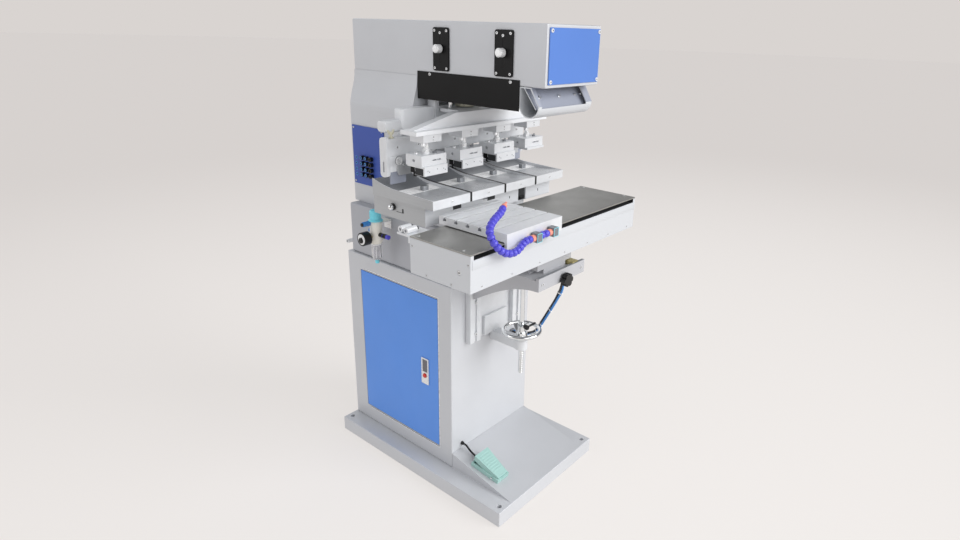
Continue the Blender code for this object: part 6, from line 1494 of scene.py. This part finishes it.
    def trays(self) -> None:
        """Model the trays' ground floors and dress their table."""
        rows = [-0.1708, -0.164, -0.150, -0.130, -0.110, -0.090, -0.070, -0.055, -0.054, -0.030, -0.002, -0.001,
                0.010, 0.020, 0.030, 0.040, 0.050, 0.060, 0.070, 0.080, 0.0876]
        top = [self.top_at(y) for y in rows]
        sunk = [
            value - 0.0004 - 0.0088 * ease(y, -0.164, -0.070) * (1.0 - 0.75 * ease(y, 0.005, 0.0876))
            for y, value in zip(rows, top)
        ]
        for number, middle in enumerate(self.centres(), 1):
            low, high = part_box(f"ink_tray_{number}")
            wall, draft = 0.0030, 0.0003

            def ring(x: float, heights: Sequence[float]) -> list[Vector]:
                """The tray's outline across the machine, with the given heights on top.

                Args:
                    x: The place across the machine.
                    heights: The top's height at each row.

                Returns:
                    The outline's points.
                """
                upper = [Vector((x, y, z)) for y, z in zip(rows, heights)]
                return [Vector((x, rows[-1], low.z)), Vector((x, rows[0], low.z)), *upper]

            bm = bmesh.new()
            add_loft(bm, [
                ring(low.x, top), ring(low.x + wall, top), ring(low.x + wall + draft, sunk),
                ring(high.x - wall - draft, sunk), ring(high.x - wall, top), ring(high.x, top),
            ])
            bmesh.ops.recalc_face_normals(bm, faces=bm.faces)
            for face in bm.faces:
                centre = face.calc_center_median()
                inner = low.x + wall < centre.x < high.x - wall and face.normal.z > 0.3
                if abs(face.normal.x) > 0.9 and not low.x + 0.001 < centre.x < high.x - 0.001:
                    face.material_index = 4
                if inner:
                    # Inner faces: the ground floor in front, the polished plate with its painted reflection in the
                    # middle, the rear slope with its painted shade behind.
                    face.material_index = 1 if centre.y < -0.0545 else 2 if centre.y < -0.0015 else 3
            made = new_object(f"ink_tray_{number}_ground", bm, (
                Finishes.aluminium, Finishes.plate_steel, Finishes.polished_plate, Finishes.stained_steel,
                Finishes.side_steel,
            ), "machine")
            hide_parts(f"ink_tray_{number}")
            post = bmesh.new()
            add_block(post, (middle + 0.0040, -0.0480, 1.0030), (middle + 0.0240, -0.0330, 1.0200), 0.6)
            new_object(f"ink_tray_{number}_post", post, (Finishes.bare_steel,), "machine")
        dressed(Skin("tray_table", Finishes.silver_inner, 0.7, (
            Region((-0.2925, -0.1255, 0.88), (-0.2915, 0.101, 0.99), Finishes.side_steel, (-1.0, 0.0, 0.0)),
            Region((0.2915, -0.1255, 0.88), (0.2925, 0.101, 0.99), Finishes.side_steel, (1.0, 0.0, 0.0)),
        )))
        heads = [((x, -0.1708, 0.999), FRONT) for x in self.centres()]
        screws("tray_screws", "machine", ScrewHead(0.0034, 0.0018), heads, Finishes.aluminium_bright)
        self.tray_gaps()
        self.table_trim()

    def table_trim(self) -> None:
        """Add the table's lock knob, and dark blocks of painted shade for its side slot, front slots, notch and screws.
        """
        bm = bmesh.new()
        add_disc(bm, (-0.292, 0.0092, 0.9610), LEFT, [
            (0.0098, -0.0002), (0.0104, 0.0010), (0.0104, 0.0065), (0.0094, 0.0078),
        ], 32, 1)
        add_disc(bm, (-0.2990, 0.0092, 0.9610), LEFT, [
            (0.0088, 0.0), (0.0092, 0.0020), (0.0088, 0.0050), (0.0072, 0.0080), (0.0046, 0.0100), (0.0016, 0.0108),
        ], 32)
        new_object("table_lock_knob", bm, (Finishes.chrome, Finishes.black_plastic), "machine")
        # Thin dark blocks on the table's side and front: painted shade of its side slot, front slots, notch and screws.
        bm = bmesh.new()
        add_block(bm, (-0.2926, -0.0340, 0.9482), (-0.2919, -0.0040, 0.9496), 0.1)
        add_block(bm, (-0.2926, -0.0345, 0.9485), (-0.2919, -0.0288, 0.9612), 0.1)
        for low, high in (((-0.1825, 0.9560), (-0.1480, 0.9672)), ((-0.0320, 0.9560), (0.0032, 0.9672)),
                          ((0.1196, 0.9290), (0.1510, 0.9690)), ((0.0738, 0.9440), (0.0768, 0.9520)),
                          ((0.2226, 0.9440), (0.2256, 0.9520))):
            add_block(bm, (low[0], -0.1264, low[1]), (high[0], -0.1256, high[1]), 0.1)
        new_object("table_slots", bm, (Finishes.dark_gap,), "machine")

    def tray_gaps(self) -> None:
        """Lay dark strips in the gaps between the trays that follow their curved tops: painted shade in the gaps."""
        profile = [(y, z + 0.0006) for y, z in self.top_profile()]
        front, rear = profile[0][0] - 0.0006, profile[-1][0]
        bm = bmesh.new()
        # Each strip is painted shade in the gap between two trays.
        for centre in (-self.pitch, 0.0, self.pitch):
            outline = [(front, 0.9850), (front, profile[0][1]), *profile[1:], (rear, 0.9862)]
            add_loft(bm, [[Vector((x, y, z)) for y, z in outline] for x in (centre - 0.0038, centre + 0.0038)])
        bmesh.ops.recalc_face_normals(bm, faces=bm.faces)
        new_object("tray_seals", bm, (Finishes.black_plastic,), "machine")


@dataclass
class ShuttleUnit:
    """The shuttle with its cover, stop and slotted worktable."""

    half: float = 0.402

    def build(self) -> None:
        """Dress the shuttle and table, and add screws, lip and stops."""
        ends = [
            ((side * self.half, y, z), Axis.X.vector(side))
            for side in (-1, 1) for y, z in ((-0.193, 0.9147), (-0.2465, 0.8450), (-0.3382, 0.8450), (-0.3970, 0.9121))
        ]
        large = [((side * self.half, -0.3656, 0.8845), Axis.X.vector(side)) for side in (-1, 1)]
        sinks = [Sink(centre, normal, 0.0037, 0.0026) for centre, normal in ends]
        sinks += [Sink(centre, normal, 0.0066, 0.0034) for centre, normal in large]
        dressed(Skin("shuttle_housing", Finishes.bright_sheet, 0.5, (
            # Faces near the top of the front, darkened as painted shade.
            Region((-0.39, -0.4049, 0.92), (0.39, -0.37, 0.9366), Finishes.dark_gap),
        ), 40.0, tuple(sinks)))
        dressed(Skin("shuttle_top", Finishes.ground_steel, 0.5))
        dressed(Skin("stop_plate", Finishes.aluminium, 0.5, (
            Region((-0.370, -0.19, 0.9415), (-0.33, -0.13, 0.96), Finishes.black_plastic),
        )))
        dressed(Skin("worktable", Finishes.aluminium, 0.6, (
            Region((-0.30, -0.42, 0.9545), (-0.03, -0.16, 0.9555), Finishes.bare_steel),
        )))
        seated = [(tuple(Vector(centre) - normal * 0.0026), normal) for centre, normal in ends]
        screws("shuttle_end_screws", "knee", ScrewHead(0.0032, 0.0022), seated)
        seated = [(tuple(Vector(centre) - normal * 0.0034), normal) for centre, normal in large]
        screws("shuttle_end_bolts", "knee", ScrewHead(0.0060, 0.0030), seated)
        tops = [((side * 0.3875, y, 0.941), UP) for side in (-1, 1) for y in (-0.2046, -0.3690)]
        screws("cover_plate_screws", "knee", ScrewHead(0.0034, 0.0014), tops)
        row = [((x, -0.405, 0.8475), FRONT) for x in (-0.36, -0.24, -0.12, 0.0, 0.12, 0.24, 0.36)]
        screws("shuttle_front_screws", "knee", ScrewHead(0.0026, 0.0016), row)
        bm = bmesh.new()
        add_block(bm, (-0.396, -0.4062, 0.8995), (0.396, -0.4048, 0.9235), 0.3)
        new_object("shuttle_front_lip", bm, (Finishes.bright_sheet,), "knee")
        bm = bmesh.new()
        add_block(bm, (0.124, -0.132, 0.9315), (0.146, -0.1262, 0.9425), 0.6)
        new_object("table_clamp", bm, (Finishes.black_plastic,), "machine")


@dataclass
class KneeUnit:
    """The knee with its lifting screw, handwheel and levers."""

    def build(self) -> None:
        """Dress the knee's pieces."""
        dressed(Skin("knee_arm", Finishes.knee_enamel, 0.8, (
            Region((-0.125, -0.398, 0.770), (0.125, -0.30, 0.80), Finishes.bare_steel, (0.0, 0.0, 1.0)),
        )))
        dressed(Skin("lead_screw", Finishes.chrome, 0.3))
        self.thread()
        dressed(Skin("screw_bracket", Finishes.silver_inner, 0.7))
        dressed(Skin("handwheel", Finishes.chrome, 0.5, (), 50.0))
        dressed(Skin("lock_lever", Finishes.black_plastic, 0.4))
        dressed(Skin("star_knob", Finishes.black_plastic, 0.5))
        bm = bmesh.new()
        add_block(bm, (0.060, -0.396, 0.7852), (0.090, -0.352, 0.7960), 0.6)
        new_object("knee_brass_block", bm, (Finishes.brass,), "knee")
        places = [((side * 0.098, -0.402, 0.7725), FRONT) for side in (-1, 1)]
        screws("knee_front_screws", "knee", ScrewHead(0.0046, 0.0034), places)

    def thread(self) -> None:
        """Wind the screw's thread round it."""
        bm = bmesh.new()
        turns, pitch, radius = 33, 0.0025, 0.0079
        steps = turns * 16
        line = [
            Vector((math.cos(a) * radius, -0.254 + math.sin(a) * radius, 0.388 + pitch * a / (2 * math.pi)))
            for a in (2 * math.pi * step / 16 for step in range(steps + 1))
        ]
        sweep(bm, line, 0.0006, 6)
        new_object("screw_thread", bm, (Finishes.chrome,), "knee")


@dataclass
class AirSupply:
    """The filter regulator with its gauge, bowl and ports, and the rear elbow."""

    centre: tuple[float, float] = (-0.236, 0.168)

    def build(self) -> None:
        """Dress the regulator's pieces and add the dial and knob ribs."""
        dressed(Skin("regulator_body", Finishes.cream, 0.6, (
            Region((-0.2158, 0.14, 0.83), (-0.18, 0.19, 0.869), Finishes.zinc),
            Region((-0.25, 0.1885, 0.80), (-0.22, 0.2, 0.86), Finishes.blue_tube),
            Region((-0.25, 0.1300, 0.80), (-0.22, 0.1372, 0.86), Finishes.violet),
            Region((-0.25, 0.1372, 0.80), (-0.22, 0.1475, 0.86), Finishes.black_plastic),
            Region((-0.2685, 0.16, 0.81), (-0.2575, 0.18, 0.835), Finishes.brass),
        )))
        self.knob()
        dressed(Skin("filter_bowl", Finishes.clear, 0.4))
        dressed(Skin("bowl_drain", Finishes.cyan, 0.4))
        dressed(Skin("pressure_gauge", Finishes.black_plastic, 0.5))
        dressed(Skin("rear_elbow", Finishes.white, 0.5))
        bm = bmesh.new()
        x, y = self.centre
        add_disc(bm, (x, y - 0.0370, 0.8290), FRONT, [
            (0.0062, 0.0), (0.0078, 0.0010), (0.0078, 0.0140), (0.0066, 0.0150),
        ], 28)
        add_disc(bm, (x, y - 0.0520, 0.8290), FRONT, [(0.0072, 0.0), (0.0072, 0.0100), (0.0062, 0.0110)], 28, 1)
        add_disc(bm, (x - 0.0190, y + 0.0090, 0.8655), LEFT, [
            (0.0086, 0.0), (0.0090, 0.0010), (0.0090, 0.0060), (0.0080, 0.0070),
        ], 28, 2)
        add_disc(bm, (x - 0.0260, y + 0.0090, 0.8655), LEFT, [
            (0.0078, 0.0), (0.0082, 0.0010), (0.0082, 0.0180), (0.0070, 0.0190),
        ], 28, 2)
        add_disc(bm, (x - 0.0450, y + 0.0090, 0.8655), LEFT, [(0.0060, 0.0), (0.0060, 0.0030)], 28)
        new_object("regulator_fittings", bm, (Finishes.black_plastic, Finishes.violet, Finishes.blue_tube), "machine")
        ribs = bmesh.new()
        for step in range(8):
            angle = 2 * math.pi * step / 8
            spot = Vector((x + math.cos(angle) * 0.0157, y + math.sin(angle) * 0.0157, 0.7700))
            half = Vector((0.0009, 0.0009, 0.0200))
            add_block(ribs, tuple(spot - half), tuple(spot + half), 0.3)
        add_disc(ribs, (x, y, 0.7925), UP, [(0.0166, 0.0), (0.0178, 0.0008), (0.0178, 0.0046), (0.0166, 0.0054)], 48)
        new_object("bowl_ribs", ribs, (Finishes.white,), "machine")
        self.dial()

    def knob(self) -> None:
        """Model the pressure knob: a plain cap over a flared skirt."""
        x, y = self.centre
        bm = bmesh.new()
        add_disc(bm, (x, y, 0.8720), UP, [
            (0.0222, 0.0000), (0.0234, 0.0008), (0.0234, 0.0030), (0.0196, 0.0058), (0.0176, 0.0068), (0.0172, 0.0076),
            (0.0180, 0.0084), (0.0178, 0.0320), (0.0168, 0.0345), (0.0140, 0.0358), (0.0060, 0.0360),
        ], 56)
        for step in range(28):
            angle = 2 * math.pi * step / 28
            spot = Vector((x + math.cos(angle) * 0.0178, y + math.sin(angle) * 0.0178, 0.8930))
            add_disc(bm, spot - UP * 0.0100, UP, [(0.0005, 0.0), (0.0005, 0.0200)], 6)
        made = new_object("regulator_knob_cap", bm, (Finishes.cyan,), body_of("regulator_knob"))
        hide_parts("regulator_knob")

    def dial(self) -> None:
        """Lay the gauge's dial, its ticks, pointer and glass rim."""
        x, y, z = -0.2942, 0.168, 0.822
        bm = bmesh.new()
        add_disc(bm, (x, y, z), LEFT, [(0.0172, 0.0), (0.0172, 0.0006), (0.0164, 0.0010)], 48)
        for step in range(11):
            angle = math.radians(225 - 27 * step)
            tick = bmesh.ops.create_cube(bm, size=1.0)["verts"]
            bmesh.ops.scale(bm, verts=tick, vec=(0.0002, 0.0030 if step % 5 == 0 else 0.0020, 0.0005))
            bmesh.ops.translate(bm, verts=tick, vec=(0.0, 0.0150, 0.0))
            turn = Matrix.Rotation(angle, 4, "X")
            bmesh.ops.transform(bm, matrix=Matrix.Translation((x - 0.0011, y, z)) @ turn, verts=tick)
            paint(tick, 1)
        hand = bmesh.ops.create_cube(bm, size=1.0)["verts"]
        bmesh.ops.scale(bm, verts=hand, vec=(0.0004, 0.0150, 0.0008))
        bmesh.ops.translate(bm, verts=hand, vec=(0.0, 0.0050, 0.0))
        turn = Matrix.Rotation(math.radians(120), 4, "X")
        bmesh.ops.transform(bm, matrix=Matrix.Translation((x - 0.0014, y, z)) @ turn, verts=hand)
        paint(hand, 1)
        add_disc(bm, (x - 0.0010, y, z - 0.0030), LEFT, [(0.0094, 0.0), (0.0090, 0.0040), (0.0074, 0.0050)], 32, 1)
        new_object("gauge_dial", bm, (Finishes.white, Finishes.black_plastic), "machine")


def main() -> None:
    """Build the studio and every sub-assembly."""
    logging.basicConfig(level=logging.INFO, format="%(message)s")
    Studio().build()
    units = (
        BeadedHose(), AirTubes(), Base(), Cabinet(), HeadUnit(), PrintingUnit(), ShuttleUnit(), KneeUnit(), AirSupply(),
    )
    for unit in units:
        before = len(bpy.data.objects)
        unit.build()
        LOG.info("%s: %d pieces", type(unit).__name__, len(bpy.data.objects) - before)


if __name__ == "__main__":
    main()
